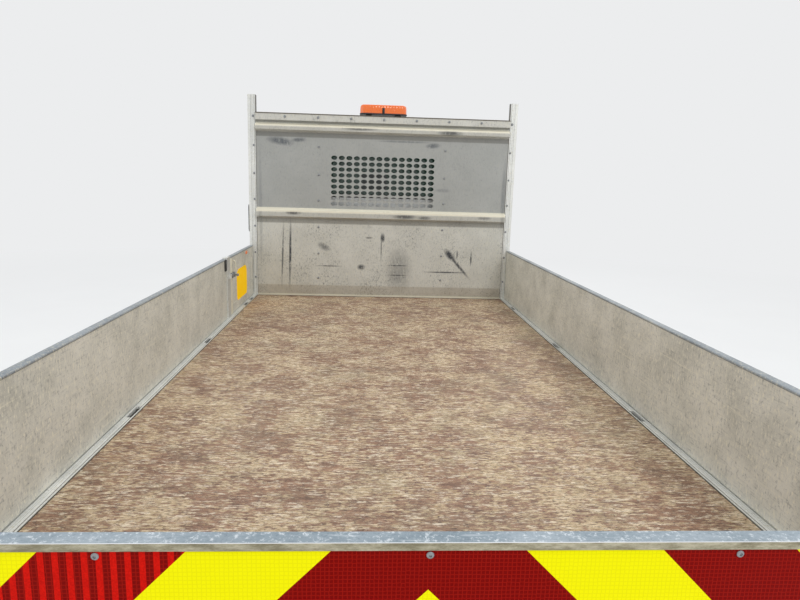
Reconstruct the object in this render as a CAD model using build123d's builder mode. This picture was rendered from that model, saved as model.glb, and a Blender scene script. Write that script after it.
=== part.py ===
from build123d import *
import math
import os

# Dropside truck with a single-row cab. Sizes are in millimetres.
# X points to the truck's right, Y forward and Z up, from the ground under the truck's middle.
os.makedirs("parts", exist_ok=True)

# Fits and gaps
JOINT = 0.3
CLEAR = 6.0
PIN_CLEAR = 0.1

# Load bed, across and along
BED_WIDTH = 2100.0
BED_LENGTH = 4080.0
PANEL_T = 25.0
BOARD_T = 3.0
SHEET_T = 3.0
POST_W = 60.0
POST_DEPTH = 50.0
KNUCKLE_R = 9.0
HINGE_PIN_R = 4.0
HINGE_W = 90.0
LEAF_T = 5.0
LEAF_LENGTH = 70.0
AXIS_OUT = KNUCKLE_R + 1.0

# Cab, wheels and chassis, along the truck
CAB_GAP = 43.0
CAB_LENGTH = 2020.0
WHEELBASE = 4035.0
FRONT_OVERHANG = 890.0
LENGTH = 2 * KNUCKLE_R + 1.0 + BOARD_T + PANEL_T + BED_LENGTH + POST_DEPTH + CAB_GAP + CAB_LENGTH
REAR = -LENGTH / 2
FRONT = LENGTH / 2
TAIL_AXIS_Y = REAR + KNUCKLE_R
BOARD_OUT = TAIL_AXIS_Y + AXIS_OUT
TAIL_OUT = BOARD_OUT + BOARD_T
TAIL_IN = TAIL_OUT + PANEL_T
HEADBOARD_Y = TAIL_IN + BED_LENGTH
POST_FRONT = HEADBOARD_Y + POST_DEPTH
CAB_BACK = FRONT - CAB_LENGTH
FRONT_AXLE_Y = FRONT - FRONT_OVERHANG
REAR_AXLE_Y = FRONT_AXLE_Y - WHEELBASE

# Heights, from the ground up
TYRE_R = 360.0
AXLE_Z = TYRE_R
CHASSIS_TOP = 720.0
RAIL_DEPTH = 160.0
RUNNER_H = 92.0
BEARER_H = 100.0
DECK_T = 18.0
RAVE_LIP = 3.0
SIDE_HEIGHT = 400.0
HEADBOARD_HEIGHT = 1424.0
POST_HEIGHT = 1555.0
RAIL_BOTTOM = CHASSIS_TOP - RAIL_DEPTH
BEARER_BOTTOM = CHASSIS_TOP + RUNNER_H
DECK_BOTTOM = BEARER_BOTTOM + BEARER_H
DECK_TOP = DECK_BOTTOM + DECK_T
RAVE_TOP = DECK_TOP + RAVE_LIP
HINGE_Z = RAVE_TOP + 2.0
PANEL_BOTTOM = RAVE_TOP + CLEAR
SIDE_TOP = DECK_TOP + SIDE_HEIGHT
HEADBOARD_TOP = DECK_TOP + HEADBOARD_HEIGHT
POST_TOP = DECK_TOP + POST_HEIGHT

# Places across the bed
BED_HALF = BED_WIDTH / 2
SIDE_AXIS_X = BED_HALF + AXIS_OUT
RAVE_W = 61.0
RAVE_WALL = 4.0
RAVE_TOP_T = 9.0
PLY_HALF = BED_HALF - RAVE_W
POST_INNER = BED_HALF - POST_W
TAIL_HALF = POST_INNER - CLEAR


def block(x, y, z, mode=Mode.ADD):
    """A box given by its span along each axis."""
    spans = (x, y, z)
    centre = tuple((low + high) / 2 for low, high in spans)
    size = tuple(abs(high - low) for low, high in spans)
    with Locations(centre):
        Box(*size, mode=mode)


def rod(axis, span, centre, radius, mode=Mode.ADD):
    """A cylinder along X, Y or Z. Its centre is given by the two other coordinates, in order."""
    middle = (span[0] + span[1]) / 2
    turn = {"X": (0, 90, 0), "Y": (90, 0, 0), "Z": (0, 0, 0)}[axis]
    place = list(centre)
    place.insert("XYZ".index(axis), middle)
    with Locations(Location(tuple(place), turn)):
        Cylinder(radius, abs(span[1] - span[0]), mode=mode)


def rods(axis, length, centres, radius, mode=Mode.ADD):
    """Like cylinders along one axis, given by their centres."""
    turn = {"X": (0, 90, 0), "Y": (90, 0, 0), "Z": (0, 0, 0)}[axis]
    with Locations(*[Location(tuple(centre), turn) for centre in centres]):
        Cylinder(radius, length, mode=mode)


def blocks(size, centres, mode=Mode.ADD):
    """Like boxes, given by their size and centres."""
    with Locations(*[tuple(centre) for centre in centres]):
        Box(*size, mode=mode)


def rounded_face(plane, points, inset=0.0):
    """The face inside an outline whose points give two coordinates and a corner radius."""
    with BuildSketch(plane, mode=Mode.PRIVATE) as section:
        with BuildLine():
            corners = [(a, b) for a, b, _ in points]
            FilletPolyline(*corners, radius=[radius for _, _, radius in points], close=True)
        make_face()
        if inset:
            offset(amount=-inset)
    return section.sketch


def side_prism(points, x, inset=0.0, mode=Mode.ADD):
    """An outline of (y, z, corner radius) carried across a span of X."""
    extrude(rounded_face(Plane.YZ.offset(min(x)), points, inset), amount=max(x) - min(x), mode=mode)


def front_prism(points, y, inset=0.0, mode=Mode.ADD):
    """An outline of (x, z, corner radius) carried along a span of Y."""
    extrude(rounded_face(Plane.XZ.offset(-max(y)), points, inset), amount=max(y) - min(y), mode=mode)


def plan_prism(points, z, inset=0.0, mode=Mode.ADD):
    """An outline of (x, y, corner radius) carried up a span of Z."""
    extrude(rounded_face(Plane.XY.offset(min(z)), points, inset), amount=max(z) - min(z), mode=mode)


def rectangle(a, b, radius=0.0):
    """The four corners of a rectangle given by two spans, with a corner radius."""
    return [(a[0], b[0], radius), (a[1], b[0], radius), (a[1], b[1], radius), (a[0], b[1], radius)]


def mirrored(half):
    """A whole outline from its right half."""
    return half + [(-x, other, radius) for x, other, radius in reversed(half)]


def both(side, span):
    """A span on the right side, or its mirror on the left, lowest first."""
    return (span[0], span[1]) if side > 0 else (-span[1], -span[0])


def channel(side, x, z, wall, top_wall, y):
    """A C-section along Y on one side of the truck, open towards the middle."""
    block(both(side, (x[1] - wall, x[1])), y, z)
    block(both(side, x), y, (z[1] - top_wall, z[1]))
    block(both(side, x), y, (z[0], z[0] + wall))


def finish(piece, name):
    """Label a finished piece and write it."""
    piece.part.label = name
    export_step(piece.part, f"parts/{name}.step")


# Chassis: two rails, members between them, and the bed's own runners and bearers
RAIL_INNER = 385.0
RAIL_OUTER = 455.0
RAIL_WALL = 6.0
RAIL_REAR = TAIL_IN + 33.0
RAIL_FRONT = FRONT - 240.0

with BuildPart() as chassis_rails:
    for side in (-1, 1):
        channel(side, (RAIL_INNER, RAIL_OUTER), (RAIL_BOTTOM, CHASSIS_TOP), RAIL_WALL, RAIL_WALL, (RAIL_REAR, RAIL_FRONT))
finish(chassis_rails, "chassis_rails")

MEMBER_W = 50.0
MEMBER_SPAN = RAIL_OUTER - RAIL_WALL
MEMBER_Z = (RAIL_BOTTOM + 30.0, RAIL_BOTTOM + 110.0)
MEMBERS_Y = [
    RAIL_REAR + MEMBER_W / 2,
    REAR_AXLE_Y - 700.0,
    REAR_AXLE_Y + 700.0,
    HEADBOARD_Y - 1000.0,
    HEADBOARD_Y + 50.0,
    FRONT_AXLE_Y - 500.0,
    RAIL_FRONT - MEMBER_W / 2,
]
MOUNT_H = 20.0
MOUNTS_Y = (CAB_BACK + 90.0, FRONT_AXLE_Y - 380.0)

with BuildPart() as cross_members:
    for y in MEMBERS_Y:
        block((-MEMBER_SPAN, MEMBER_SPAN), (y - MEMBER_W / 2, y + MEMBER_W / 2), MEMBER_Z)
    for side in (-1, 1):
        for y in MOUNTS_Y:
            rod("Z", (CHASSIS_TOP, CHASSIS_TOP + MOUNT_H), (side * (RAIL_INNER + RAIL_OUTER) / 2, y), 32.0)
finish(cross_members, "cross_members")

RUNNER_X = (RAIL_INNER + 10.0, RAIL_OUTER - 10.0)

with BuildPart() as bed_runners:
    for side in (-1, 1):
        block(both(side, RUNNER_X), (RAIL_REAR, POST_FRONT), (CHASSIS_TOP, BEARER_BOTTOM))
finish(bed_runners, "bed_runners")

BEARERS = 10
BEARER_W = 50.0
BEARER_WALL = 6.0
BEARER_FIRST = TAIL_IN + 110.0
BEARER_LAST = HEADBOARD_Y - 70.0
BEARER_PITCH = (BEARER_LAST - BEARER_FIRST) / (BEARERS - 1)
BEARER_HALF = BED_HALF - RAVE_WALL

with BuildPart() as bed_bearers:
    for index in range(BEARERS):
        y = BEARER_FIRST + index * BEARER_PITCH
        flange = (y - BEARER_W / 2, y + BEARER_W / 2)
        web = (y - BEARER_WALL / 2, y + BEARER_WALL / 2)
        block((-BEARER_HALF, BEARER_HALF), web, (BEARER_BOTTOM + RAVE_WALL, DECK_BOTTOM))
        block((-BEARER_HALF, BEARER_HALF), flange, (DECK_BOTTOM - BEARER_WALL, DECK_BOTTOM))
        inner = PLY_HALF - JOINT
        block((-inner, inner), flange, (BEARER_BOTTOM, BEARER_BOTTOM + BEARER_WALL))
finish(bed_bearers, "bed_bearers")

SILL_W = 50.0
SILL_REAR_IN = TAIL_OUT + SILL_W

with BuildPart() as floor_deck:
    block((-PLY_HALF, PLY_HALF), (SILL_REAR_IN, HEADBOARD_Y), (DECK_BOTTOM, DECK_TOP))
finish(floor_deck, "floor_deck")

# Side rails: the C-shaped frame that closes the deck's edges, with lashing slots and hinge knuckles
SLOT_LENGTH = 115.0
SLOT_W = 20.0
SLOTS_BACK = (400.0, 1490.0, 2600.0, 3700.0)
EXTRA_SLOT_BACK = 190.0
SLOT_X = BED_HALF - 43.0
SIDE_PANEL_REAR = TAIL_OUT + POST_W - BOARD_T + CLEAR
SIDE_PANEL_FRONT = HEADBOARD_Y - CLEAR - LEAF_T
GATE_POST_REAR = HEADBOARD_Y - 925.0
GATE_POST_W = 75.0
GATE_POST_FRONT = GATE_POST_REAR + GATE_POST_W
LEFT_PANEL_FRONT = GATE_POST_REAR - CLEAR
GATE_REAR = GATE_POST_FRONT + CLEAR
SIDE_HINGES = 4
TAIL_HINGES_X = (-780.0, -260.0, 260.0, 780.0)
KNUCKLE_GAP = 1.5
KNUCKLE_W = (HINGE_W - 2 * KNUCKLE_GAP) / 3
KNUCKLE_STEP = KNUCKLE_W + KNUCKLE_GAP


def hinge_places(rear, front, count):
    """Evenly spaced hinge centres along a panel, an inset in from each end."""
    inset = 220.0
    pitch = (front - rear - 2 * inset) / (count - 1)
    return [rear + inset + index * pitch for index in range(count)]


def moving_knuckle_span(centre):
    """The span of a hinge's middle knuckle."""
    return (centre - KNUCKLE_W / 2, centre + KNUCKLE_W / 2)


RIGHT_HINGES = hinge_places(SIDE_PANEL_REAR, SIDE_PANEL_FRONT, SIDE_HINGES)
LEFT_HINGES = hinge_places(SIDE_PANEL_REAR, LEFT_PANEL_FRONT, SIDE_HINGES)

with BuildPart() as side_rails:
    for side in (-1, 1):
        channel(side, (PLY_HALF, BED_HALF), (BEARER_BOTTOM, RAVE_TOP), RAVE_WALL, RAVE_TOP_T, (TAIL_OUT, POST_FRONT))
    # Rear and front sills, each a channel with its web outside
    for web, flange in (
        ((TAIL_OUT, TAIL_OUT + RAVE_WALL), (TAIL_OUT, SILL_REAR_IN)),
        ((POST_FRONT - RAVE_WALL, POST_FRONT), (HEADBOARD_Y, POST_FRONT)),
    ):
        block((-PLY_HALF, PLY_HALF), web, (BEARER_BOTTOM, RAVE_TOP))
        block((-PLY_HALF, PLY_HALF), flange, (RAVE_TOP - RAVE_TOP_T, RAVE_TOP))
        block((-PLY_HALF, PLY_HALF), flange, (BEARER_BOTTOM, BEARER_BOTTOM + RAVE_WALL))
    # Lashing slots
    slots = [(side, back) for side in (-1, 1) for back in SLOTS_BACK] + [(-1, EXTRA_SLOT_BACK)]
    for side, back in slots:
        y = HEADBOARD_Y - back
        plan_prism(
            rectangle(both(side, (SLOT_X - SLOT_W / 2, SLOT_X + SLOT_W / 2)), (y - SLOT_LENGTH / 2, y + SLOT_LENGTH / 2), 6.0),
            (RAVE_TOP - 2 * RAVE_TOP_T, RAVE_TOP + 1.0),
            mode=Mode.SUBTRACT,
        )
    # Fixed knuckles, their leaves and the pins of the side and tail hinges
    places = [(1, y) for y in RIGHT_HINGES] + [(-1, y) for y in LEFT_HINGES]
    leaf_z = HINGE_Z - LEAF_LENGTH / 2
    outer = [(side, y + end * KNUCKLE_STEP) for side, y in places for end in (-1, 1)]
    rods("Y", KNUCKLE_W, [(side * SIDE_AXIS_X, y, HINGE_Z) for side, y in outer], KNUCKLE_R)
    blocks((LEAF_T, KNUCKLE_W, LEAF_LENGTH), [(side * (BED_HALF + LEAF_T / 2), y, leaf_z) for side, y in outer])
    rods("Y", HINGE_W, [(side * SIDE_AXIS_X, y, HINGE_Z) for side, y in places], HINGE_PIN_R)
    outer = [x + end * KNUCKLE_STEP for x in TAIL_HINGES_X for end in (-1, 1)]
    leaf_depth = TAIL_OUT - BOARD_OUT + LEAF_T
    rods("X", KNUCKLE_W, [(x, TAIL_AXIS_Y, HINGE_Z) for x in outer], KNUCKLE_R)
    blocks((KNUCKLE_W, leaf_depth, LEAF_LENGTH), [(x, TAIL_OUT - leaf_depth / 2, leaf_z) for x in outer])
    rods("X", HINGE_W, [(x, TAIL_AXIS_Y, HINGE_Z) for x in TAIL_HINGES_X], HINGE_PIN_R)
finish(side_rails, "side_rails")

# Headboard: a sheet with two pressed ribs, a capped top and a perforated window
TOP_RAIL_H = 56.0
TOP_RAIL_OUT = 28.0
RIB_DEPTH = 30.0
RIB_SLOPE = 13.0
RIBS_UP = ((1286.0, 1348.0), (622.0, 701.0))
HOLE_COLUMNS = 14
HOLE_ROWS = 9
HOLE_PITCH_X = 59.0
HOLE_PITCH_Z = 44.5
HOLE_W = 47.0
HOLE_H = 33.0
WINDOW_UP = 922.5
FOOT_H = 30.0
HEAD_HALF = POST_INNER

with BuildPart() as headboard:
    sheet_y = (HEADBOARD_Y, HEADBOARD_Y + SHEET_T)
    block((-HEAD_HALF, HEAD_HALF), sheet_y, (RAVE_TOP, HEADBOARD_TOP))
    for low, high in RIBS_UP:
        profile = [
            (HEADBOARD_Y + SHEET_T, DECK_TOP + low, 0),
            (HEADBOARD_Y - RIB_DEPTH, DECK_TOP + low + RIB_SLOPE, 4.0),
            (HEADBOARD_Y - RIB_DEPTH, DECK_TOP + high - RIB_SLOPE, 4.0),
            (HEADBOARD_Y + SHEET_T, DECK_TOP + high, 0),
        ]
        side_prism(profile, (-HEAD_HALF, HEAD_HALF))
    block((-HEAD_HALF, HEAD_HALF), (HEADBOARD_Y - TOP_RAIL_OUT, POST_FRONT), (HEADBOARD_TOP - TOP_RAIL_H, HEADBOARD_TOP))
    block((-HEAD_HALF, HEAD_HALF), (HEADBOARD_Y - FOOT_H, HEADBOARD_Y), (RAVE_TOP, RAVE_TOP + SHEET_T))
    with BuildSketch(Plane.XZ.offset(-HEADBOARD_Y - SHEET_T)) as perforation:
        with Locations((0, DECK_TOP + WINDOW_UP)):
            with GridLocations(HOLE_PITCH_X, HOLE_PITCH_Z, HOLE_COLUMNS, HOLE_ROWS):
                Ellipse(HOLE_W / 2, HOLE_H / 2)
    extrude(amount=SHEET_T, mode=Mode.SUBTRACT)
finish(headboard, "headboard")

GATE_AXIS_Y = HEADBOARD_Y - LEAF_T - CLEAR / 2
GATE_HINGES_UP = (90.0, 310.0)
FLANGE_W = 30.0

GATE_POST_INNER = BED_HALF - 32.0
POST_OVER = 8.0
KEEPER_T = 12.0
KEEPER_W = 30.0
KEEPER_H = 80.0
KEEPER_UP = 230.0
REAR_POST_Y = BOARD_OUT + POST_W / 2
GATE_POST_Y = (GATE_POST_REAR + GATE_POST_FRONT) / 2
BOLT_UP = (265.0, 290.0)

with BuildPart() as body_posts:
    for side in (-1, 1):
        # Headboard post with its narrow flange towards the bed, and rear corner post
        block(both(side, (POST_INNER, BED_HALF)), (HEADBOARD_Y, POST_FRONT), (RAVE_TOP, POST_TOP))
        block(both(side, (POST_INNER, POST_INNER + FLANGE_W)), (HEADBOARD_Y - LEAF_T, HEADBOARD_Y), (RAVE_TOP, POST_TOP))
        rear_post = rectangle(both(side, (POST_INNER, BED_HALF)), (BOARD_OUT, BOARD_OUT + POST_W), 5.0)
        plan_prism(rear_post, (RAVE_TOP, SIDE_TOP + POST_OVER))
    block((-BED_HALF, -GATE_POST_INNER), (GATE_POST_REAR, GATE_POST_FRONT), (RAVE_TOP, SIDE_TOP + POST_OVER))
    # Gate hinge: fixed knuckles, leaves and pins on the left headboard post
    gate_hinges = [DECK_TOP + up for up in GATE_HINGES_UP]
    outer = [z + end * KNUCKLE_STEP for z in gate_hinges for end in (-1, 1)]
    leaf_reach = LEAF_T + 30.0
    rods("Z", KNUCKLE_W, [(-SIDE_AXIS_X, GATE_AXIS_Y, z) for z in outer], KNUCKLE_R)
    leaf_place = (-BED_HALF - LEAF_T / 2, GATE_AXIS_Y + leaf_reach / 2)
    blocks((LEAF_T, leaf_reach, KNUCKLE_W), [(*leaf_place, z) for z in outer])
    rods("Z", HINGE_W, [(-SIDE_AXIS_X, GATE_AXIS_Y, z) for z in gate_hinges], HINGE_PIN_R)
    # Keepers on the posts' outer and rear faces, and the slide bolt's plate beside the gate
    keeper_z = DECK_TOP + KEEPER_UP + KEEPER_H / 2
    keepers = [(1, REAR_POST_Y), (-1, REAR_POST_Y), (1, HEADBOARD_Y + POST_DEPTH / 2), (-1, GATE_POST_Y)]
    blocks((KEEPER_T, KEEPER_W, KEEPER_H), [(side * (BED_HALF + KEEPER_T / 2), y, keeper_z) for side, y in keepers])
    tail_keeper_x = (POST_INNER + BED_HALF) / 2
    blocks((KEEPER_W, KEEPER_T, KEEPER_H), [(side * tail_keeper_x, BOARD_OUT - KEEPER_T / 2, keeper_z) for side in (-1, 1)])
    block(
        (-GATE_POST_INNER, -GATE_POST_INNER + KEEPER_T),
        (GATE_POST_REAR + 20.0, GATE_POST_FRONT - 6.0),
        (DECK_TOP + BOLT_UP[0], DECK_TOP + BOLT_UP[1]),
    )
finish(body_posts, "body_posts")

# Dropsides, access gate and tailboard
RAIL_CAP = 12.0
GROOVE = 4.0
GROOVE_H = 12.0
GROOVES_UP = (135.0, 262.0)


def dropside(side, rear, front, hinges):
    """A side panel with plank grooves outside and the moving knuckles along its foot."""
    inner, outer = BED_HALF - PANEL_T, BED_HALF
    block(both(side, (inner, outer)), (rear, front), (PANEL_BOTTOM, SIDE_TOP))
    for up in GROOVES_UP:
        block(both(side, (outer - GROOVE, outer)), (rear, front), (DECK_TOP + up, DECK_TOP + up + GROOVE_H), Mode.SUBTRACT)
    for y in hinges:
        span = moving_knuckle_span(y)
        rod("Y", span, (side * SIDE_AXIS_X, HINGE_Z), KNUCKLE_R)
        block(both(side, (outer, outer + LEAF_T)), span, (HINGE_Z, HINGE_Z + LEAF_LENGTH))
        rod("Y", span, (side * SIDE_AXIS_X, HINGE_Z), HINGE_PIN_R + PIN_CLEAR, Mode.SUBTRACT)


with BuildPart() as dropside_right:
    dropside(1, SIDE_PANEL_REAR, SIDE_PANEL_FRONT, RIGHT_HINGES)
finish(dropside_right, "dropside_right")

with BuildPart() as dropside_left:
    dropside(-1, SIDE_PANEL_REAR, LEFT_PANEL_FRONT, LEFT_HINGES)
finish(dropside_left, "dropside_left")

GATE_FRONT = SIDE_PANEL_FRONT
GATE_FRAME = 55.0
GATE_RECESS = 3.0

with BuildPart() as access_gate:
    dropside(-1, GATE_REAR, GATE_FRONT, ())
    side_prism(
        rectangle((GATE_REAR + GATE_FRAME, GATE_FRONT - GATE_FRAME), (PANEL_BOTTOM + GATE_FRAME, SIDE_TOP - GATE_FRAME), 25.0),
        (-BED_HALF + PANEL_T - GATE_RECESS, -BED_HALF + PANEL_T + 1.0),
        mode=Mode.SUBTRACT,
    )
    for up in GATE_HINGES_UP:
        span = moving_knuckle_span(DECK_TOP + up)
        rod("Z", span, (-SIDE_AXIS_X, GATE_AXIS_Y), KNUCKLE_R)
        block((-BED_HALF - LEAF_T, -BED_HALF), (GATE_AXIS_Y - LEAF_LENGTH, GATE_AXIS_Y), span)
        rod("Z", span, (-SIDE_AXIS_X, GATE_AXIS_Y), HINGE_PIN_R + PIN_CLEAR, Mode.SUBTRACT)
finish(access_gate, "access_gate")

CAP_LIP = 2.0
BOARD_BOTTOM = PANEL_BOTTOM + 7.0

with BuildPart() as tailboard:
    block((-TAIL_HALF, TAIL_HALF), (TAIL_OUT, TAIL_IN), (PANEL_BOTTOM, SIDE_TOP))
    block((-TAIL_HALF, TAIL_HALF), (BOARD_OUT - CAP_LIP, TAIL_IN), (SIDE_TOP - RAIL_CAP, SIDE_TOP))
    for x in TAIL_HINGES_X:
        span = moving_knuckle_span(x)
        rod("X", span, (TAIL_AXIS_Y, HINGE_Z), KNUCKLE_R)
        block(span, (BOARD_OUT - LEAF_T, BOARD_OUT), (HINGE_Z, HINGE_Z + LEAF_LENGTH))
        block(span, (BOARD_OUT - LEAF_T, TAIL_OUT), (PANEL_BOTTOM, BOARD_BOTTOM))
        rod("X", span, (TAIL_AXIS_Y, HINGE_Z), HINGE_PIN_R + PIN_CLEAR, Mode.SUBTRACT)
finish(tailboard, "tailboard")

with BuildPart() as chevron_board:
    block((-TAIL_HALF, TAIL_HALF), (BOARD_OUT, TAIL_OUT), (BOARD_BOTTOM, SIDE_TOP - RAIL_CAP))
finish(chevron_board, "chevron_board")

# Cab envelope: one profile swung round a far centre, trimmed by the view from the front and from above
CAB_FOOT = CHASSIS_TOP - 490.0
BOW_R = 3420.0
WALL = 50.0
EDGE_R = 40.0

CAB_PROFILE = [  # behind the nose, above the foot, corner radius
    (2420.0, 0.0, 0),
    (70.0, 0.0, 60.0),
    (0.0, 170.0, 80.0),
    (0.0, 290.0, 80.0),
    (6.0, 410.0, 0),
    (48.0, 755.0, 90.0),
    (135.0, 892.0, 160.0),
    (620.0, 1100.0, 0),
    (1270.0, 1985.0, 320.0),
    (1640.0, 2070.0, 1800.0),
    (2420.0, 2050.0, 0),
]
CAB_SIDE = [  # across, above the foot, corner radius
    (900.0, -30.0, 0),
    (1004.0, 210.0, 150.0),
    (1012.0, 770.0, 0),
    (1008.0, 1030.0, 700.0),
    (872.0, 2210.0, 0),
]
NOSE_PLAN = [  # across, behind the nose, corner radius
    (1040.0, 2220.0, 0),
    (1040.0, 480.0, 380.0),
    (760.0, -40.0, 300.0),
]


def nose(back):
    """A place along Y from its distance behind the nose."""
    return FRONT - back


def above(up):
    """A height from its distance above the cab's foot."""
    return CAB_FOOT + up


def side_view(points):
    """An outline of (behind the nose, above the foot, radius) as (y, z, radius)."""
    return [(nose(back), above(up), radius) for back, up, radius in points]


def cab_form(inset=0.0):
    """The cab's whole envelope, drawn in by an inset all round."""
    bow = nose(BOW_R)
    reach = 200.0
    swung = rounded_face(
        Plane(origin=(0, bow, 0), x_dir=(0, -1, 0), z_dir=(-1, 0, 0)),
        [(y - bow, z, radius) for y, z, radius in side_view(CAB_PROFILE)],
        inset,
    )
    with BuildPart(mode=Mode.PRIVATE) as form:
        revolve(swung, axis=Axis((0, bow, 0), (0, 0, 1)))
        seen_from_front = mirrored([(x, above(up), radius) for x, up, radius in CAB_SIDE])
        front_prism(seen_from_front, (CAB_BACK + inset, FRONT + reach), inset, Mode.INTERSECT)
        seen_from_above = mirrored([(x, nose(back), radius) for x, back, radius in NOSE_PLAN])
        plan_prism(seen_from_above, (CAB_FOOT - reach, above(2210.0) + reach), inset, Mode.INTERSECT)
    return form.part


def is_upper_edge(edge):
    """Whether an edge is one of the cab's shoulders: its roof, pillar and bonnet sides."""
    box, centre = edge.bounding_box(), edge.center()
    runs_along = box.max.Y - box.min.Y > 30.0
    leans = box.max.X - box.min.X > 0.5
    return abs(centre.X) > 500.0 and runs_along and leans and box.min.Z > above(710.0)


with BuildPart() as envelope:
    add(cab_form())
    fillet(envelope.edges().filter_by(is_upper_edge), EDGE_R)
CAB_SKIN = envelope.part
CAB_INSIDE = cab_form(WALL)
CAB_FITTED = cab_form(WALL + JOINT)


def skin_between(outer, inner_inset):
    """Fill the part with the cab's skin, from an outer form to an inset one."""
    add(outer)
    add(cab_form(inner_inset), mode=Mode.SUBTRACT)


SHELL_FRONT = 1135.0
COWL_UP = 1010.0
COWL_BACK = 585.0
BUMPER_UP = 420.0
SHELL_REGION = side_view([
    (2030.0, 200.0, 0),
    (SHELL_FRONT, 200.0, 0),
    (SHELL_FRONT, COWL_UP, 0),
    (COWL_BACK, COWL_UP, 0),
    (COWL_BACK, 1270.0, 0),
    (820.0, 2170.0, 0),
    (2030.0, 2170.0, 0),
])
DOOR = side_view([
    (1905.0, 240.0, 40.0),
    (1905.0, 1900.0, 80.0),
    (1520.0, 1920.0, 90.0),
    (905.0, 1115.0, 120.0),
    (932.0, 655.0, 20.0),
    (995.0, 655.0, 0),
    (1365.0, 425.0, 0),
    (1390.0, 240.0, 60.0),
])
DOOR_WINDOW = side_view([
    (1830.0, 1190.0, 60.0),
    (1830.0, 1835.0, 60.0),
    (1530.0, 1845.0, 60.0),
    (1015.0, 1190.0, 60.0),
])
DOOR_T = 55.0
DOOR_INNER = 700.0
DOOR_GAP = 8.0
DOOR_REAR_GAP = 14.0
DOOR_REAR = nose(1905.0)
WINDSCREEN = mirrored([(830.0, above(1140.0), 80.0), (760.0, above(1920.0), 80.0)])
WINDSCREEN_BACK = nose(1620.0)
REAR_WINDOW = rectangle((-480.0, 480.0), (above(1510.0), above(1850.0)), 45.0)
WIDE = 1200.0
ARCH_R = 450.0
LINER_T = 10.0
FLOOR_HALF = 925.0
FLOOR_TOP = CHASSIS_TOP + MOUNT_H + 40.0
FLOOR_BOTTOM = CHASSIS_TOP + MOUNT_H
FLOOR = [
    (CAB_BACK + 10.0, FLOOR_BOTTOM, 0),
    (nose(1220.0), FLOOR_BOTTOM, 0),
    (nose(560.0), FLOOR_BOTTOM + 616.0, 0),
    (nose(620.0), FLOOR_BOTTOM + 616.0, 0),
    (nose(1240.0), FLOOR_TOP, 0),
    (CAB_BACK + 10.0, FLOOR_TOP, 0),
]
DOOR_AXIS_X = 996.0
DOOR_AXIS_Y = nose(955.0)
DOOR_PIN_R = 4.0
HINGE_ARM_H = 24.0
HINGE_ARM_W = 16.0
DOOR_HINGES_UP = (755.0, 935.0)
APOST_X = (903.0, FLOOR_HALF)
STEP_IN = 885.0
STEP_OUT = 965.0
STEP_FRONT = nose(1430.0)
COWL_FRONT = nose(COWL_BACK)
BONNET_REAR = nose(568.0)
BONNET_AXIS_Y = BONNET_REAR + 8.0
BONNET_AXIS_Z = above(1064.0)
BONNET_HINGES_X = (-200.0, 200.0)
BONNET_EYE_R = 7.0
BONNET_EYE_W = 24.0


def arch(mode=Mode.SUBTRACT):
    """The front wheels' arch, straight across."""
    rod("X", (-WIDE, WIDE), (FRONT_AXLE_Y, AXLE_Z), ARCH_R, mode)


def door_openings():
    """Both door openings, cut wider than the doors."""
    for side in (-1, 1):
        side_prism(DOOR, both(side, (DOOR_INNER, WIDE)), -DOOR_GAP, Mode.SUBTRACT)
        block(both(side, (DOOR_INNER, WIDE)), (DOOR_REAR - DOOR_REAR_GAP, DOOR_REAR), (above(290.0), above(1830.0)), Mode.SUBTRACT)


with BuildPart() as floor_plate:
    side_prism(FLOOR, (-FLOOR_HALF, FLOOR_HALF))
    add(cab_form(WALL - 2.0), mode=Mode.INTERSECT)

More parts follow.
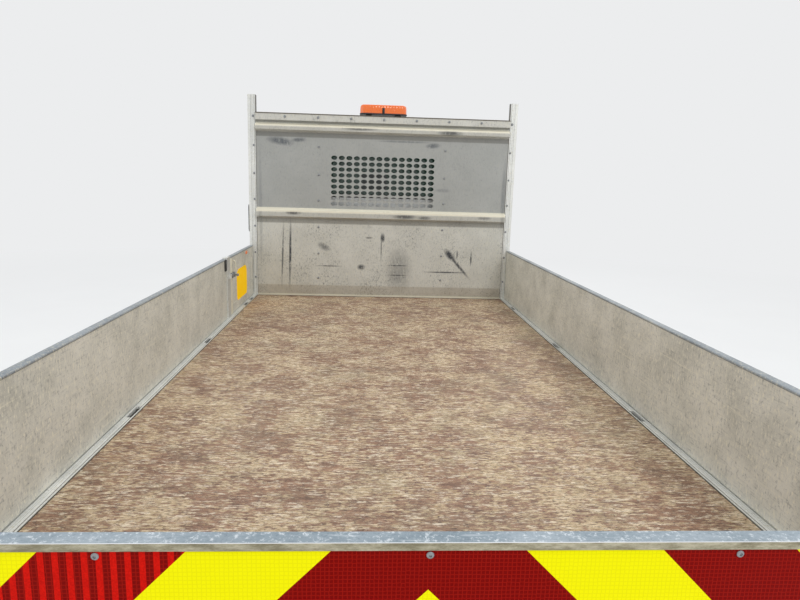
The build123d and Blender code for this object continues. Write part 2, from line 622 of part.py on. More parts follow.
with BuildPart() as cab_shell:
    skin_between(CAB_SKIN, WALL)
    side_prism(SHELL_REGION, (-WIDE, WIDE), mode=Mode.INTERSECT)
    door_openings()
    arch()
    front_prism(WINDSCREEN, (WINDSCREEN_BACK, FRONT + WIDE), mode=Mode.SUBTRACT)
    front_prism(REAR_WINDOW, (CAB_BACK - WALL, CAB_BACK + 2 * WALL), mode=Mode.SUBTRACT)
    block((-FLOOR_HALF, FLOOR_HALF), (CAB_BACK - WALL, CAB_BACK + 2 * WALL), (CAB_FOOT, FLOOR_BOTTOM), Mode.SUBTRACT)
    add(floor_plate.part)
    for side in (-1, 1):
        # Step well under the door: a riser and the sill it stands on
        block(both(side, (STEP_IN, FLOOR_HALF)), (CAB_BACK + 30.0, STEP_FRONT), (above(200.0), FLOOR_BOTTOM + 5.0))
        block(both(side, (STEP_IN, STEP_OUT)), (CAB_BACK + 30.0, STEP_FRONT), (above(200.0), above(230.0)))
        # A-post inside the door's leading edge, with the arms of the two door hinges
        block(both(side, APOST_X), (DOOR_AXIS_Y - 15.0, DOOR_AXIS_Y + 97.0), (above(770.0), above(1060.0)))
        block(both(side, (APOST_X[0], STEP_OUT)), (DOOR_AXIS_Y + 67.0, DOOR_AXIS_Y + 97.0), (above(1012.0), above(1060.0)))
        for up in DOOR_HINGES_UP:
            height = (above(up), above(up) + HINGE_ARM_H)
            arm = (DOOR_AXIS_Y - HINGE_ARM_W / 2, DOOR_AXIS_Y + HINGE_ARM_W / 2)
            block(both(side, (APOST_X[0], DOOR_AXIS_X)), arm, height)
            rod("Z", height, (side * DOOR_AXIS_X, DOOR_AXIS_Y), HINGE_ARM_W / 2)
            rod("Z", height, (side * DOOR_AXIS_X, DOOR_AXIS_Y), DOOR_PIN_R + PIN_CLEAR, Mode.SUBTRACT)
    # Eyes of the bonnet's hinges, standing forward from the cowl's edge
    for x in BONNET_HINGES_X:
        eye = (x - BONNET_EYE_W / 2, x + BONNET_EYE_W / 2)
        eye_z = (BONNET_AXIS_Z - BONNET_EYE_R, BONNET_AXIS_Z + BONNET_EYE_R)
        block(eye, (COWL_FRONT - 5.0, BONNET_AXIS_Y), eye_z)
        rod("X", eye, (BONNET_AXIS_Y, BONNET_AXIS_Z), BONNET_EYE_R)
        rod("X", eye, (BONNET_AXIS_Y, BONNET_AXIS_Z), DOOR_PIN_R + PIN_CLEAR, Mode.SUBTRACT)
finish(cab_shell, "cab_shell")

GLASS_SET = 4.0
GLASS_T = 6.0

with BuildPart() as cab_glass:
    skin_between(cab_form(GLASS_SET), GLASS_SET + GLASS_T)
    front_prism(WINDSCREEN, (WINDSCREEN_BACK, FRONT + WIDE), JOINT, Mode.INTERSECT)
    front_prism(REAR_WINDOW, (CAB_BACK + GLASS_SET, CAB_BACK + GLASS_SET + GLASS_T), JOINT)
finish(cab_glass, "cab_glass")

NOTCH_CLEAR = 6.0
NOTCH_OUT = 10.0

with BuildPart() as door_right:
    skin_between(CAB_SKIN, DOOR_T)
    side_prism(DOOR, (DOOR_INNER, WIDE), mode=Mode.INTERSECT)
    side_prism(DOOR_WINDOW, (DOOR_INNER, WIDE), mode=Mode.SUBTRACT)
    for up in DOOR_HINGES_UP:
        height = (above(up) - NOTCH_CLEAR, above(up) + HINGE_ARM_H + NOTCH_CLEAR)
        back = DOOR_AXIS_Y - HINGE_ARM_W / 2 - NOTCH_CLEAR
        block((DOOR_INNER, DOOR_AXIS_X + NOTCH_OUT), (back, nose(880.0)), height, Mode.SUBTRACT)
        rod("Z", height, (DOOR_AXIS_X, DOOR_AXIS_Y), DOOR_PIN_R)
finish(door_right, "door_right")

with BuildPart() as door_left:
    add(mirror(door_right.part, about=Plane.YZ))
finish(door_left, "door_left")

DOOR_GLASS_SET = 14.0

with BuildPart() as door_glass_right:
    skin_between(cab_form(DOOR_GLASS_SET), DOOR_GLASS_SET + GLASS_T)
    side_prism(DOOR_WINDOW, (DOOR_INNER, WIDE), JOINT, Mode.INTERSECT)
finish(door_glass_right, "door_glass_right")

with BuildPart() as door_glass_left:
    add(mirror(door_glass_right.part, about=Plane.YZ))
finish(door_glass_left, "door_glass_left")

# Nose panels: bonnet, wings, bumper, grille and headlamps
BONNET_HALF = 809.0
BONNET_FOOT = above(832.0)
BONNET_T = 22.0
BONNET_HIGH = above(1300.0)
BONNET_NOTCH = 3.0
BONNET_PIN_GRIP = 5.0
WING_T = 25.0
WING_INNER = BONNET_HALF + CLEAR
GRILLE_HALF = 525.0
BUMPER_TOP = above(BUMPER_UP)
BUMPER_T = 40.0
BUMPER_INNER = 600.0
INTAKE = rectangle((-450.0, 450.0), (above(100.0), above(260.0)), 30.0)
PLATE_HALF = 265.0
PLATE_Z = (above(303.0), above(BUMPER_UP + 10.0))
PLATE_RECESS = 24.0
GRILLE_Z = (BUMPER_TOP + JOINT, above(815.0))
LAMP = rectangle((560.0, 930.0), (above(615.0), above(808.0)), 22.0)
LAMP_SET = 2.0
LAMP_BACK = 70.0

with BuildPart() as bonnet:
    skin_between(CAB_SKIN, BONNET_T)
    block((-BONNET_HALF, BONNET_HALF), (BONNET_REAR, FRONT + 10.0), (BONNET_FOOT, BONNET_HIGH), Mode.INTERSECT)
    for x in BONNET_HINGES_X:
        half = BONNET_EYE_W / 2 + BONNET_NOTCH
        block((x - half, x + half), (BONNET_REAR, BONNET_REAR + 24.0), (above(900.0), BONNET_HIGH), Mode.SUBTRACT)
        pin_half = half + BONNET_PIN_GRIP
        rod("X", (x - pin_half, x + pin_half), (BONNET_AXIS_Y, BONNET_AXIS_Z), DOOR_PIN_R)
finish(bonnet, "bonnet")

with BuildPart() as front_wings:
    skin_between(CAB_SKIN, WING_T)
    side_prism(
        side_view([
            (SHELL_FRONT - JOINT, BUMPER_UP, 0),
            (SHELL_FRONT - JOINT, COWL_UP - JOINT, 0),
            (COWL_BACK - JOINT, COWL_UP - JOINT, 0),
            (COWL_BACK - JOINT, 1250.0, 0),
            (-20.0, 1250.0, 0),
            (-20.0, BUMPER_UP, 0),
        ]),
        (-WIDE, WIDE),
        mode=Mode.INTERSECT,
    )
    block((-GRILLE_HALF - JOINT, GRILLE_HALF + JOINT), (CAB_BACK, FRONT + 10.0), (0, BONNET_HIGH), Mode.SUBTRACT)
    block((-WING_INNER, WING_INNER), (CAB_BACK, FRONT + 10.0), (BONNET_FOOT - CLEAR, BONNET_HIGH), Mode.SUBTRACT)
    door_openings()
    arch()
    for side in (-1, 1):
        front_prism([(side * x, z, r) for x, z, r in LAMP], (FRONT_AXLE_Y, FRONT + 10.0), mode=Mode.SUBTRACT)
finish(front_wings, "front_wings")

with BuildPart() as front_bumper:
    skin_between(CAB_SKIN, BUMPER_T)
    block((-WIDE, WIDE), (FRONT_AXLE_Y + 100.0, FRONT + 10.0), (0, BUMPER_TOP - JOINT), Mode.INTERSECT)
    arch()
    block((-BUMPER_INNER, BUMPER_INNER), (CAB_BACK, FRONT_AXLE_Y + ARCH_R + 20.0), (0, BUMPER_TOP), Mode.SUBTRACT)
    front_prism(INTAKE, (nose(200.0), FRONT + 10.0), mode=Mode.SUBTRACT)
    block((-PLATE_HALF, PLATE_HALF), (nose(PLATE_RECESS), FRONT + 10.0), PLATE_Z, Mode.SUBTRACT)
finish(front_bumper, "front_bumper")

GRILLE_SLOTS = 5
GRILLE_SET = 8.0
GRILLE_BACK = 30.0
SLOT_HALF_H = 24.0
SLOT_SIDE = 35.0

with BuildPart() as grille:
    skin_between(cab_form(GRILLE_SET), GRILLE_BACK)
    block((-GRILLE_HALF, GRILLE_HALF), (FRONT_AXLE_Y, FRONT + 10.0), GRILLE_Z, Mode.INTERSECT)
    pitch = (GRILLE_Z[1] - GRILLE_Z[0]) / GRILLE_SLOTS
    for index in range(GRILLE_SLOTS):
        middle = GRILLE_Z[0] + (index + 0.5) * pitch
        slot_half = GRILLE_HALF - SLOT_SIDE
        slot = rectangle((-slot_half, slot_half), (middle - SLOT_HALF_H, middle + SLOT_HALF_H), SLOT_HALF_H / 2)
        front_prism(slot, (FRONT_AXLE_Y, FRONT + 10.0), mode=Mode.SUBTRACT)
finish(grille, "grille")

with BuildPart() as headlamps:
    skin_between(cab_form(LAMP_SET), LAMP_BACK)
    with BuildPart(mode=Mode.PRIVATE) as lamp_places:
        for side in (-1, 1):
            front_prism([(side * x, z, r) for x, z, r in LAMP], (FRONT_AXLE_Y, FRONT + 10.0), JOINT)
    add(lamp_places.part, mode=Mode.INTERSECT)
finish(headlamps, "headlamps")

# Door mirrors on short arms
MIRROR_X = (1100.0, 1270.0)
MIRROR_Y = (DOOR_AXIS_Y - 60.0, DOOR_AXIS_Y + 20.0)
MIRROR_UP = (1100.0, 1400.0)
ARM_ROOT_X = 960.0
ARM_END_X = 1140.0
ARM_SET = 20.0
ARM_ROOT_W = 16.0
ARM_END_W = 28.0
ARM_H = 26.0
ARMS_UP = (MIRROR_UP[0] - 20.0, MIRROR_UP[0] + 90.0)


def door_mirror(side):
    """A mirror head with a dished back, and its two arms from the door."""
    head = rectangle(both(side, MIRROR_X), (above(MIRROR_UP[0]), above(MIRROR_UP[1])), 40.0)
    front_prism(head, MIRROR_Y)
    for up in ARMS_UP:
        arm_y = MIRROR_Y[0] + ARM_SET
        arm = [
            (side * ARM_ROOT_X, arm_y, 0),
            (side * ARM_END_X, arm_y, 0),
            (side * ARM_END_X, arm_y + ARM_END_W, 0),
            (side * ARM_ROOT_X, arm_y + ARM_ROOT_W, 0),
        ]
        plan_prism(arm, (above(up), above(up) + ARM_H))
    add(CAB_SKIN, mode=Mode.SUBTRACT)


with BuildPart() as mirror_right:
    door_mirror(1)
finish(mirror_right, "mirror_right")

with BuildPart() as mirror_left:
    door_mirror(-1)
finish(mirror_left, "mirror_left")

# Inside the cab
WHEEL_RIM_R = 190.0
DRIVER_X = 560.0
COLUMN_FRONT = nose(1085.0)
WHEEL_PLANE = Plane(origin=(DRIVER_X, nose(1235.0), above(1110.0)), x_dir=(1, 0, 0), z_dir=(0, 0.82, -0.57))

with BuildPart() as dashboard:
    side_prism(
        side_view([
            (1160.0, 770.0, 30.0),
            (1160.0, 950.0, 40.0),
            (1040.0, 1060.0, 60.0),
            (790.0, 1060.0, 0),
            (790.0, 995.0, 0),
            (1000.0, 800.0, 40.0),
        ]),
        (-APOST_X[0] + 3.0, APOST_X[0] - 3.0),
    )
    add(CAB_FITTED, mode=Mode.INTERSECT)
    # Steering wheel on its column
    with Locations(WHEEL_PLANE):
        Torus(WHEEL_RIM_R, 14.0)
        Cylinder(52.0, 36.0)
        Box(2 * WHEEL_RIM_R, 34.0, 16.0)
    with BuildSketch(WHEEL_PLANE) as column_section:
        Circle(30.0)
    extrude(amount=(COLUMN_FRONT - WHEEL_PLANE.origin.Y) / WHEEL_PLANE.z_dir.Y)
finish(dashboard, "dashboard")

SEAT_BACK_Y = CAB_BACK + WALL + 30.0
SEAT_TOP = above(920.0)
SEAT_BASE_TOP = above(770.0)
SEATS = [  # span across, centres of the head restraints
    ((320.0, 800.0), (DRIVER_X,)),
    ((-850.0, 190.0), (-590.0, -70.0)),
]

with BuildPart() as seats:
    for across, heads in SEATS:
        side_prism(
            [
                (SEAT_BACK_Y, SEAT_BASE_TOP, 0),
                (SEAT_BACK_Y + 590.0, SEAT_BASE_TOP, 40.0),
                (SEAT_BACK_Y + 600.0, SEAT_TOP, 50.0),
                (SEAT_BACK_Y + 170.0, SEAT_TOP - 20.0, 30.0),
                (SEAT_BACK_Y + 110.0, SEAT_TOP + 610.0, 40.0),
                (SEAT_BACK_Y - 10.0, SEAT_TOP + 610.0, 40.0),
            ],
            across,
        )
        for x in heads:
            block((x - 120.0, x + 120.0), (SEAT_BACK_Y, SEAT_BACK_Y + 90.0), (SEAT_TOP + 600.0, SEAT_TOP + 780.0))
finish(seats, "seats")

with BuildPart() as seat_bases:
    for across, _ in SEATS:
        block((across[0] + 20.0, across[1] - 20.0), (SEAT_BACK_Y + 150.0, SEAT_BACK_Y + 560.0), (FLOOR_TOP, SEAT_BASE_TOP))
finish(seat_bases, "seat_bases")

# Amber light bar on its roof bracket
BEACON_HALF = 195.0
BEACON_Y = HEADBOARD_Y + 350.0
BEACON_TOP = DECK_TOP + 1548.0
BEACON_H = 78.0
BEACON_DEPTH = 160.0

with BuildPart() as beacon:
    plan_prism(
        rectangle((-BEACON_HALF, BEACON_HALF), (BEACON_Y - BEACON_DEPTH / 2, BEACON_Y + BEACON_DEPTH / 2), 50.0),
        (BEACON_TOP - BEACON_H, BEACON_TOP),
    )
    for x in (-120.0, 120.0):
        block((x - 20.0, x + 20.0), (BEACON_Y - 45.0, BEACON_Y + 45.0), (above(1990.0), BEACON_TOP - BEACON_H))
    add(CAB_SKIN, mode=Mode.SUBTRACT)
finish(beacon, "beacon")

# Wheels, axles and springs
TRACK = 1810.0
WHEEL_X = TRACK / 2
TYRE_W = 225.0
RIM_R = 203.0
KINGPIN_IN = 75.0
KINGPIN_X = WHEEL_X - KINGPIN_IN
SPINDLE_R = 28.0
SPINDLE_END = 10.0
BOSS_R = 32.0
BOSS_HALF = 60.0
EAR_R = 36.0
EAR_T = 25.0
DISC_IN = -30.0
BARREL_HALF = 105.0
BARREL_T = 10.0
PLATE_IN = 20.0
PLATE_OUT = 30.0
VENTS = 8
VENT_PITCH_R = 142.0
VENT_R = 22.0
HUB_R = 70.0
HUB_OUT = 55.0
BRAKE_R = 140.0
BRAKE_T = 22.0

TYRE_PROFILE = [  # across from the wheel's plane, radius
    (102.0, RIM_R + JOINT),
    (TYRE_W / 2, 255.0),
    (TYRE_W / 2, 300.0),
    (100.0, 347.0),
    (78.0, TYRE_R),
]


def tyre(side, y):
    """A tyre: its half profile, mirrored and spun round the axle."""
    points = TYRE_PROFILE + [(-across, radius) for across, radius in reversed(TYRE_PROFILE)]
    with BuildSketch(Plane.XY, mode=Mode.PRIVATE) as section:
        with BuildLine():
            Polyline(*[(side * WHEEL_X + across, y + radius) for across, radius in points], close=True)
        make_face()
    turned = section.sketch.moved(Location((0, 0, AXLE_Z)))
    revolve(turned, axis=Axis((0, y, AXLE_Z), (1, 0, 0)))


def rim(side, y):
    """A wheel: barrel, pierced disc, hub and brake disc, with a bore for the spindle."""
    def across(low, high):
        return both(side, (WHEEL_X + low, WHEEL_X + high))
    rod("X", across(-BARREL_HALF, BARREL_HALF), (y, AXLE_Z), RIM_R)
    rod("X", across(-BARREL_HALF, BARREL_HALF), (y, AXLE_Z), RIM_R - BARREL_T, Mode.SUBTRACT)
    rod("X", across(PLATE_IN, PLATE_OUT), (y, AXLE_Z), RIM_R - BARREL_T / 2)
    for index in range(VENTS):
        angle = math.radians(index * 360.0 / VENTS)
        centre = (y + VENT_PITCH_R * math.cos(angle), AXLE_Z + VENT_PITCH_R * math.sin(angle))
        rod("X", across(PLATE_IN - 5.0, PLATE_OUT + 5.0), centre, VENT_R, Mode.SUBTRACT)
    rod("X", across(DISC_IN, HUB_OUT), (y, AXLE_Z), HUB_R)
    rod("X", across(DISC_IN, DISC_IN + BRAKE_T), (y, AXLE_Z), BRAKE_R)
    rod("X", across(DISC_IN - 1.0, SPINDLE_END + JOINT), (y, AXLE_Z), SPINDLE_R + PIN_CLEAR, Mode.SUBTRACT)


for side, hand in ((1, "right"), (-1, "left")):
    for y, place in ((FRONT_AXLE_Y, "front"), (REAR_AXLE_Y, "rear")):
        with BuildPart() as wheel_tyre:
            tyre(side, y)
        finish(wheel_tyre, f"tyre_{place}_{hand}")
        with BuildPart() as wheel_rim:
            rim(side, y)
        finish(wheel_rim, f"rim_{place}_{hand}")
    with BuildPart() as knuckle:
        rod("Z", (AXLE_Z - BOSS_HALF, AXLE_Z + BOSS_HALF), (side * KINGPIN_X, FRONT_AXLE_Y), BOSS_R)
        rod("X", both(side, (KINGPIN_X, WHEEL_X + SPINDLE_END)), (FRONT_AXLE_Y, AXLE_Z), SPINDLE_R)
    finish(knuckle, f"knuckle_{hand}")

BEAM_HALF = 40.0
YOKE_X = KINGPIN_X - BOSS_R - 30.0
TOWER_R = 50.0
RAIL_X = (RAIL_INNER + RAIL_OUTER) / 2

with BuildPart() as front_axle:
    beam_y = (FRONT_AXLE_Y - BEAM_HALF, FRONT_AXLE_Y + BEAM_HALF)
    block((-YOKE_X, YOKE_X), beam_y, (AXLE_Z - 60.0, AXLE_Z + 20.0))
    for side in (-1, 1):
        block(both(side, (YOKE_X - 20.0, YOKE_X)), (FRONT_AXLE_Y - EAR_R, FRONT_AXLE_Y + EAR_R),
              (AXLE_Z - BOSS_HALF - JOINT - EAR_T, AXLE_Z + BOSS_HALF + JOINT + EAR_T))
        for low in (AXLE_Z + BOSS_HALF + JOINT, AXLE_Z - BOSS_HALF - JOINT - EAR_T):
            block(both(side, (YOKE_X - 20.0, KINGPIN_X)), (FRONT_AXLE_Y - EAR_R, FRONT_AXLE_Y + EAR_R), (low, low + EAR_T))
            rod("Z", (low, low + EAR_T), (side * KINGPIN_X, FRONT_AXLE_Y), EAR_R)
        rod("Z", (AXLE_Z, RAIL_BOTTOM), (side * RAIL_X, FRONT_AXLE_Y), TOWER_R)
finish(front_axle, "front_axle")

AXLE_TUBE_R = 45.0
CASING_R = 150.0
SPRING_HALF = 620.0
SPRING_T = 30.0
SPRING_X = (RAIL_INNER + 10.0, RAIL_OUTER - 10.0)
SPRING_DROP = 125.0

with BuildPart() as rear_axle:
    tube_end = WHEEL_X + DISC_IN - 12.0
    stub_end = WHEEL_X + SPINDLE_END
    with BuildSketch(Plane.XY.offset(AXLE_Z)):
        with BuildLine():
            half = [(stub_end, 0), (stub_end, SPINDLE_R), (tube_end, SPINDLE_R), (tube_end, AXLE_TUBE_R)]
            half += [(160.0, AXLE_TUBE_R), (110.0, 130.0), (50.0, CASING_R)]
            outline = half + [(-x, radius) for x, radius in reversed(half)]
            Polyline(*[(x, REAR_AXLE_Y + radius) for x, radius in outline], close=True)
        make_face()
    revolve(axis=Axis((0, REAR_AXLE_Y, AXLE_Z), (1, 0, 0)))
    for side in (-1, 1):
        eye_z = RAIL_BOTTOM - 5.0
        side_prism(
            [
                (REAR_AXLE_Y - SPRING_HALF, eye_z - SPRING_T, 0),
                (REAR_AXLE_Y, eye_z - SPRING_DROP - SPRING_T, 900.0),
                (REAR_AXLE_Y + SPRING_HALF, eye_z - SPRING_T, 0),
                (REAR_AXLE_Y + SPRING_HALF, eye_z, 0),
                (REAR_AXLE_Y, eye_z - SPRING_DROP, 900.0),
                (REAR_AXLE_Y - SPRING_HALF, eye_z, 0),
            ],
            both(side, SPRING_X),
        )
        for end in (-1, 1):
            y = REAR_AXLE_Y + end * (SPRING_HALF - 20.0)
            block(both(side, SPRING_X), (y - 25.0, y + 25.0), (eye_z - SPRING_T, RAIL_BOTTOM))
        block(both(side, SPRING_X), (REAR_AXLE_Y - 60.0, REAR_AXLE_Y + 60.0), (AXLE_Z, eye_z - SPRING_DROP))
finish(rear_axle, "rear_axle")

# Under the body: engine, tank, exhaust, mudguards, bar, lamps and plates
ENGINE_HALF = 300.0
ENGINE_Y = (FRONT_AXLE_Y + 150.0, FRONT_AXLE_Y + 590.0)
ENGINE_Z = (RAIL_BOTTOM - 40.0, RAIL_BOTTOM + 440.0)

GEARBOX_HALF = 130.0
GEARBOX_REAR = FRONT_AXLE_Y - 430.0
GEARBOX_Z = (RAIL_BOTTOM - 110.0, RAIL_BOTTOM + 140.0)
SHAFT_R = 35.0
SHAFT_FRONT_Z = RAIL_BOTTOM - 30.0
SHAFT_SET = 2.5

with BuildPart() as engine_block:
    block((-ENGINE_HALF, ENGINE_HALF), ENGINE_Y, ENGINE_Z)
    block((-GEARBOX_HALF, GEARBOX_HALF), (GEARBOX_REAR, ENGINE_Y[0]), GEARBOX_Z)
    block((-MEMBER_SPAN + JOINT, MEMBER_SPAN - JOINT), (ENGINE_Y[0] + 190.0, ENGINE_Y[0] + 250.0), MEMBER_Z)
finish(engine_block, "engine_block")

with BuildPart() as propshaft:
    with BuildLine() as shaft_path:
        Line((0, GEARBOX_REAR - SHAFT_SET, SHAFT_FRONT_Z), (0, REAR_AXLE_Y + CASING_R + JOINT, AXLE_Z))
    with BuildSketch(Plane(origin=shaft_path.line @ 0, z_dir=shaft_path.line % 0)):
        Circle(SHAFT_R)
    sweep()
finish(propshaft, "propshaft")

TANK_X = (480.0, 780.0)
TANK_Y = (HEADBOARD_Y - 1200.0, HEADBOARD_Y - 400.0)
TANK_Z = (RAIL_BOTTOM - 140.0, RAIL_BOTTOM + 80.0)

with BuildPart() as fuel_tank:
    front_prism(rectangle((-TANK_X[1], -TANK_X[0]), TANK_Z, 35.0), TANK_Y)
    for y in (TANK_Y[0] + 120.0, TANK_Y[1] - 120.0):
        block((-TANK_X[0] - 30.0, -RAIL_OUTER), (y - 20.0, y + 20.0), (TANK_Z[0] + 140.0, TANK_Z[1] - 20.0))
finish(fuel_tank, "fuel_tank")

PIPE_R = 30.0
PIPE_X = 300.0
PIPE_Z = RAIL_BOTTOM - 90.0
MUFFLER_R = 85.0
MUFFLER_Y = (HEADBOARD_Y - 900.0, HEADBOARD_Y - 350.0)
PIPE_END_Y = REAR_AXLE_Y + 780.0

with BuildPart() as exhaust:
    with BuildLine() as pipe_path:
        FilletPolyline(
            (PIPE_X, FRONT_AXLE_Y - 80.0, PIPE_Z),
            (PIPE_X, PIPE_END_Y + 170.0, PIPE_Z),
            (BED_HALF - 170.0, PIPE_END_Y - 40.0, PIPE_Z),
            radius=150.0,
        )
    with BuildSketch(Plane(origin=pipe_path.line @ 0, z_dir=pipe_path.line % 0)) as pipe_section:
        Circle(PIPE_R)
    sweep()
    rod("Y", MUFFLER_Y, (PIPE_X, PIPE_Z), MUFFLER_R)
    hanger_y = sum(MUFFLER_Y) / 2
    block((PIPE_X, RAIL_INNER + 20.0), (hanger_y - 20.0, hanger_y + 20.0), (PIPE_Z + MUFFLER_R - 25.0, RAIL_BOTTOM))
finish(exhaust, "exhaust")

GUARD_R = 440.0
GUARD_T = 8.0
GUARD_X = (790.0, 1030.0)
STAY_R = 12.0
STAY_ALONG = 330.0

LINER_INNER = 600.0

with BuildPart() as liner_rings:
    rod("X", (-WIDE, WIDE), (FRONT_AXLE_Y, AXLE_Z), ARCH_R + LINER_T)
    arch()
    block((-LINER_INNER, LINER_INNER), (CAB_BACK, FRONT), (-ARCH_R, above(1300.0)), Mode.SUBTRACT)
    block((-WIDE, WIDE), (CAB_BACK, FRONT), (-ARCH_R, AXLE_Z - 60.0), Mode.SUBTRACT)
    add(CAB_FITTED, mode=Mode.INTERSECT)

with BuildPart() as mudguards:
    stay_up = math.sqrt((GUARD_R - GUARD_T / 2) ** 2 - STAY_ALONG ** 2)
    for side in (-1, 1):
        rod("X", both(side, GUARD_X), (REAR_AXLE_Y, AXLE_Z), GUARD_R)
        rod("X", both(side, GUARD_X), (REAR_AXLE_Y, AXLE_Z), GUARD_R - GUARD_T, Mode.SUBTRACT)
    block((-WIDE, WIDE), (REAR, FRONT), (-GUARD_R, AXLE_Z + 150.0), Mode.SUBTRACT)
    for side in (-1, 1):
        for y in (REAR_AXLE_Y - STAY_ALONG, REAR_AXLE_Y + STAY_ALONG):
            rod("X", both(side, (RAIL_OUTER, GUARD_X[0] + 20.0)), (y, AXLE_Z + stay_up), STAY_R)
    add(liner_rings.part)
finish(mudguards, "mudguards")

BAR_Z = (420.0, 520.0)
BAR_HALF = 900.0
BAR_REAR = RAIL_REAR - 10.0
BAR_DEPTH = 50.0
TOW_HOLE_R = 8.5
TOW_PITCH = 90.0
TOW_Z = sum(BAR_Z) / 2

with BuildPart() as underrun_bar:
    block((-BAR_HALF, BAR_HALF), (BAR_REAR, BAR_REAR + BAR_DEPTH), BAR_Z)
    block((-80.0, 80.0), (BAR_REAR - 10.0, BAR_REAR), (BAR_Z[0] - 20.0, BAR_Z[1] + 20.0))
    for side in (-1, 1):
        block(both(side, (RAIL_OUTER, RAIL_OUTER + 8.0)), (BAR_REAR + 10.0, BAR_REAR + 110.0), (BAR_Z[0] + 10.0, CHASSIS_TOP - 30.0))
        rod("Y", (BAR_REAR - 11.0, BAR_REAR + BAR_DEPTH + 1.0), (side * TOW_PITCH / 2, TOW_Z), TOW_HOLE_R, Mode.SUBTRACT)
finish(underrun_bar, "underrun_bar")

LAMP_X = (560.0, 880.0)
LAMP_H = 120.0

with BuildPart() as tail_lamps:
    for side in (-1, 1):
        front_prism(rectangle(both(side, LAMP_X), (BAR_Z[1], BAR_Z[1] + LAMP_H), 8.0), (BAR_REAR - 5.0, BAR_REAR + 45.0))
finish(tail_lamps, "tail_lamps")
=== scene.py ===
# %% [markdown]
# # Dressing a dropside truck
# The frame is the truck's CAD model, with its solids, bodies and joints. This notebook adds what the eye
# expects on a working truck: worn plywood, weathered aluminium, rivets, tread, seats, lamps and paint.
# Each step says what the real thing is, how it could be made, and why it is made in this way here.

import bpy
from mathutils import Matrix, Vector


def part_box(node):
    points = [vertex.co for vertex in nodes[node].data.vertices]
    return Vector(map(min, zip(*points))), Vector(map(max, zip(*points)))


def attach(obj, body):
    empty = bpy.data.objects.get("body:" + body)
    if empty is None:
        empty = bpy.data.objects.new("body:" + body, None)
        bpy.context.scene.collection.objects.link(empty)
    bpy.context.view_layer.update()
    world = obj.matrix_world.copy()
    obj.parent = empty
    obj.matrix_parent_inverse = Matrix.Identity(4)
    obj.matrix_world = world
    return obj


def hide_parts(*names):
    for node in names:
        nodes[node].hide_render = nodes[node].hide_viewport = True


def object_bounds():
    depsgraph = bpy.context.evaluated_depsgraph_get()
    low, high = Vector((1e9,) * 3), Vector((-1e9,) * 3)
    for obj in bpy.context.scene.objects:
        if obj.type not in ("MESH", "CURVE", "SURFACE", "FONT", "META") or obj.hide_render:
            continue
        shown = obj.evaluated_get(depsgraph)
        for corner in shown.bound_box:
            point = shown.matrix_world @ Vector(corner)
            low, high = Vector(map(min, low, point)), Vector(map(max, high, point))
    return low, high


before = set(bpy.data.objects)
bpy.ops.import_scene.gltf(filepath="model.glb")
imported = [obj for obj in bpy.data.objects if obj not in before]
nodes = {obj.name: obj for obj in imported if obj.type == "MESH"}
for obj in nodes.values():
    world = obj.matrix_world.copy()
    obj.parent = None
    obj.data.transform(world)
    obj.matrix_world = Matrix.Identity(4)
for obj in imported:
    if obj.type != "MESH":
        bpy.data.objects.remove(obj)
cad_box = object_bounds()
print("CAD box", [tuple(round(value, 3) for value in corner) for corner in cad_box])

# %% Libraries
import math

import bpy
import numpy as np
from mathutils import Matrix, Vector
from mathutils.bvhtree import BVHTree

# %% [markdown]
# ## Shapes as arrays
# A shape is a pair: an array of points, and a list of face arrays whose rows name the corners of a face.
# Blender's operators could draw the same things one at a time. Arrays are chosen because one formula gives
# a whole surface at once, and a few small functions then cover bolts, pipes, plates and tyres alike.

# %% Turning faces outwards
def outward(shape):
    """The shape with faces pointing out. Each face is cut into triangles from its first corner, and a triangle
    adds its first corner's dot product with the cross product of the others. A negative sum is inside out."""
    points, groups = shape
    volume = 0.0
    for faces in groups:
        first = points[faces[:, 0]]
        for corner in range(1, faces.shape[1] - 1):
            second, third = points[faces[:, corner]], points[faces[:, corner + 1]]
            volume += np.einsum("ij,ij->", first, np.cross(second, third))
    return points, [faces[:, ::-1] if volume < 0 else faces for faces in groups]


def skinned(rings, closed=False):
    """A solid from rings of points, one row a ring. Quads join each ring to the next, point by point. A flat
    face caps the first and the last ring, unless the row of rings closes on itself."""
    rings = np.asarray(rings, float)
    rows, columns = rings.shape[:2]
    index = np.arange(rows * columns).reshape(rows, columns)
    here = index if closed else index[:-1]
    there = np.roll(index, -1, 0) if closed else index[1:]
    quads = np.stack([here, np.roll(here, -1, 1), np.roll(there, -1, 1), there], -1).reshape(-1, 4)
    caps = [] if closed else [index[:1, ::-1], index[-1:]]
    return outward((rings.reshape(-1, 3), [quads, *caps]))


# %% Joining, copying, mirroring and turning
def joined(*shapes):
    """Several shapes as one: their points in a row, and each one's faces counted on from the points before."""
    starts = np.cumsum([0] + [len(points) for points, _ in shapes])
    groups = [faces + start for (_, own), start in zip(shapes, starts) for faces in own]
    return np.concatenate([points for points, _ in shapes]), groups


def repeated(clouds, groups):
    """The same faces on several clouds of points, each counted on from the cloud before."""
    steps = np.arange(len(clouds))[:, None, None] * clouds.shape[1]
    return clouds.reshape(-1, 3), [(steps + faces).reshape(-1, faces.shape[1]) for faces in groups]


def copies(shape, places):
    """The same shape moved to each place. Every point is added to every place."""
    return repeated(np.reshape(places, (-1, 1, 3)) + shape[0], shape[1])


def ringed(shape, axis, count, centre=(0, 0, 0)):
    """The same shape at equal turns round an axis: copy k is turned by k times 360 degrees over the count."""
    turns = np.array([Matrix.Rotation(2 * math.pi * number / count, 3, axis) for number in range(count)])
    return repeated(np.einsum("nij,pj->npi", turns, shape[0] - centre) + centre, shape[1])


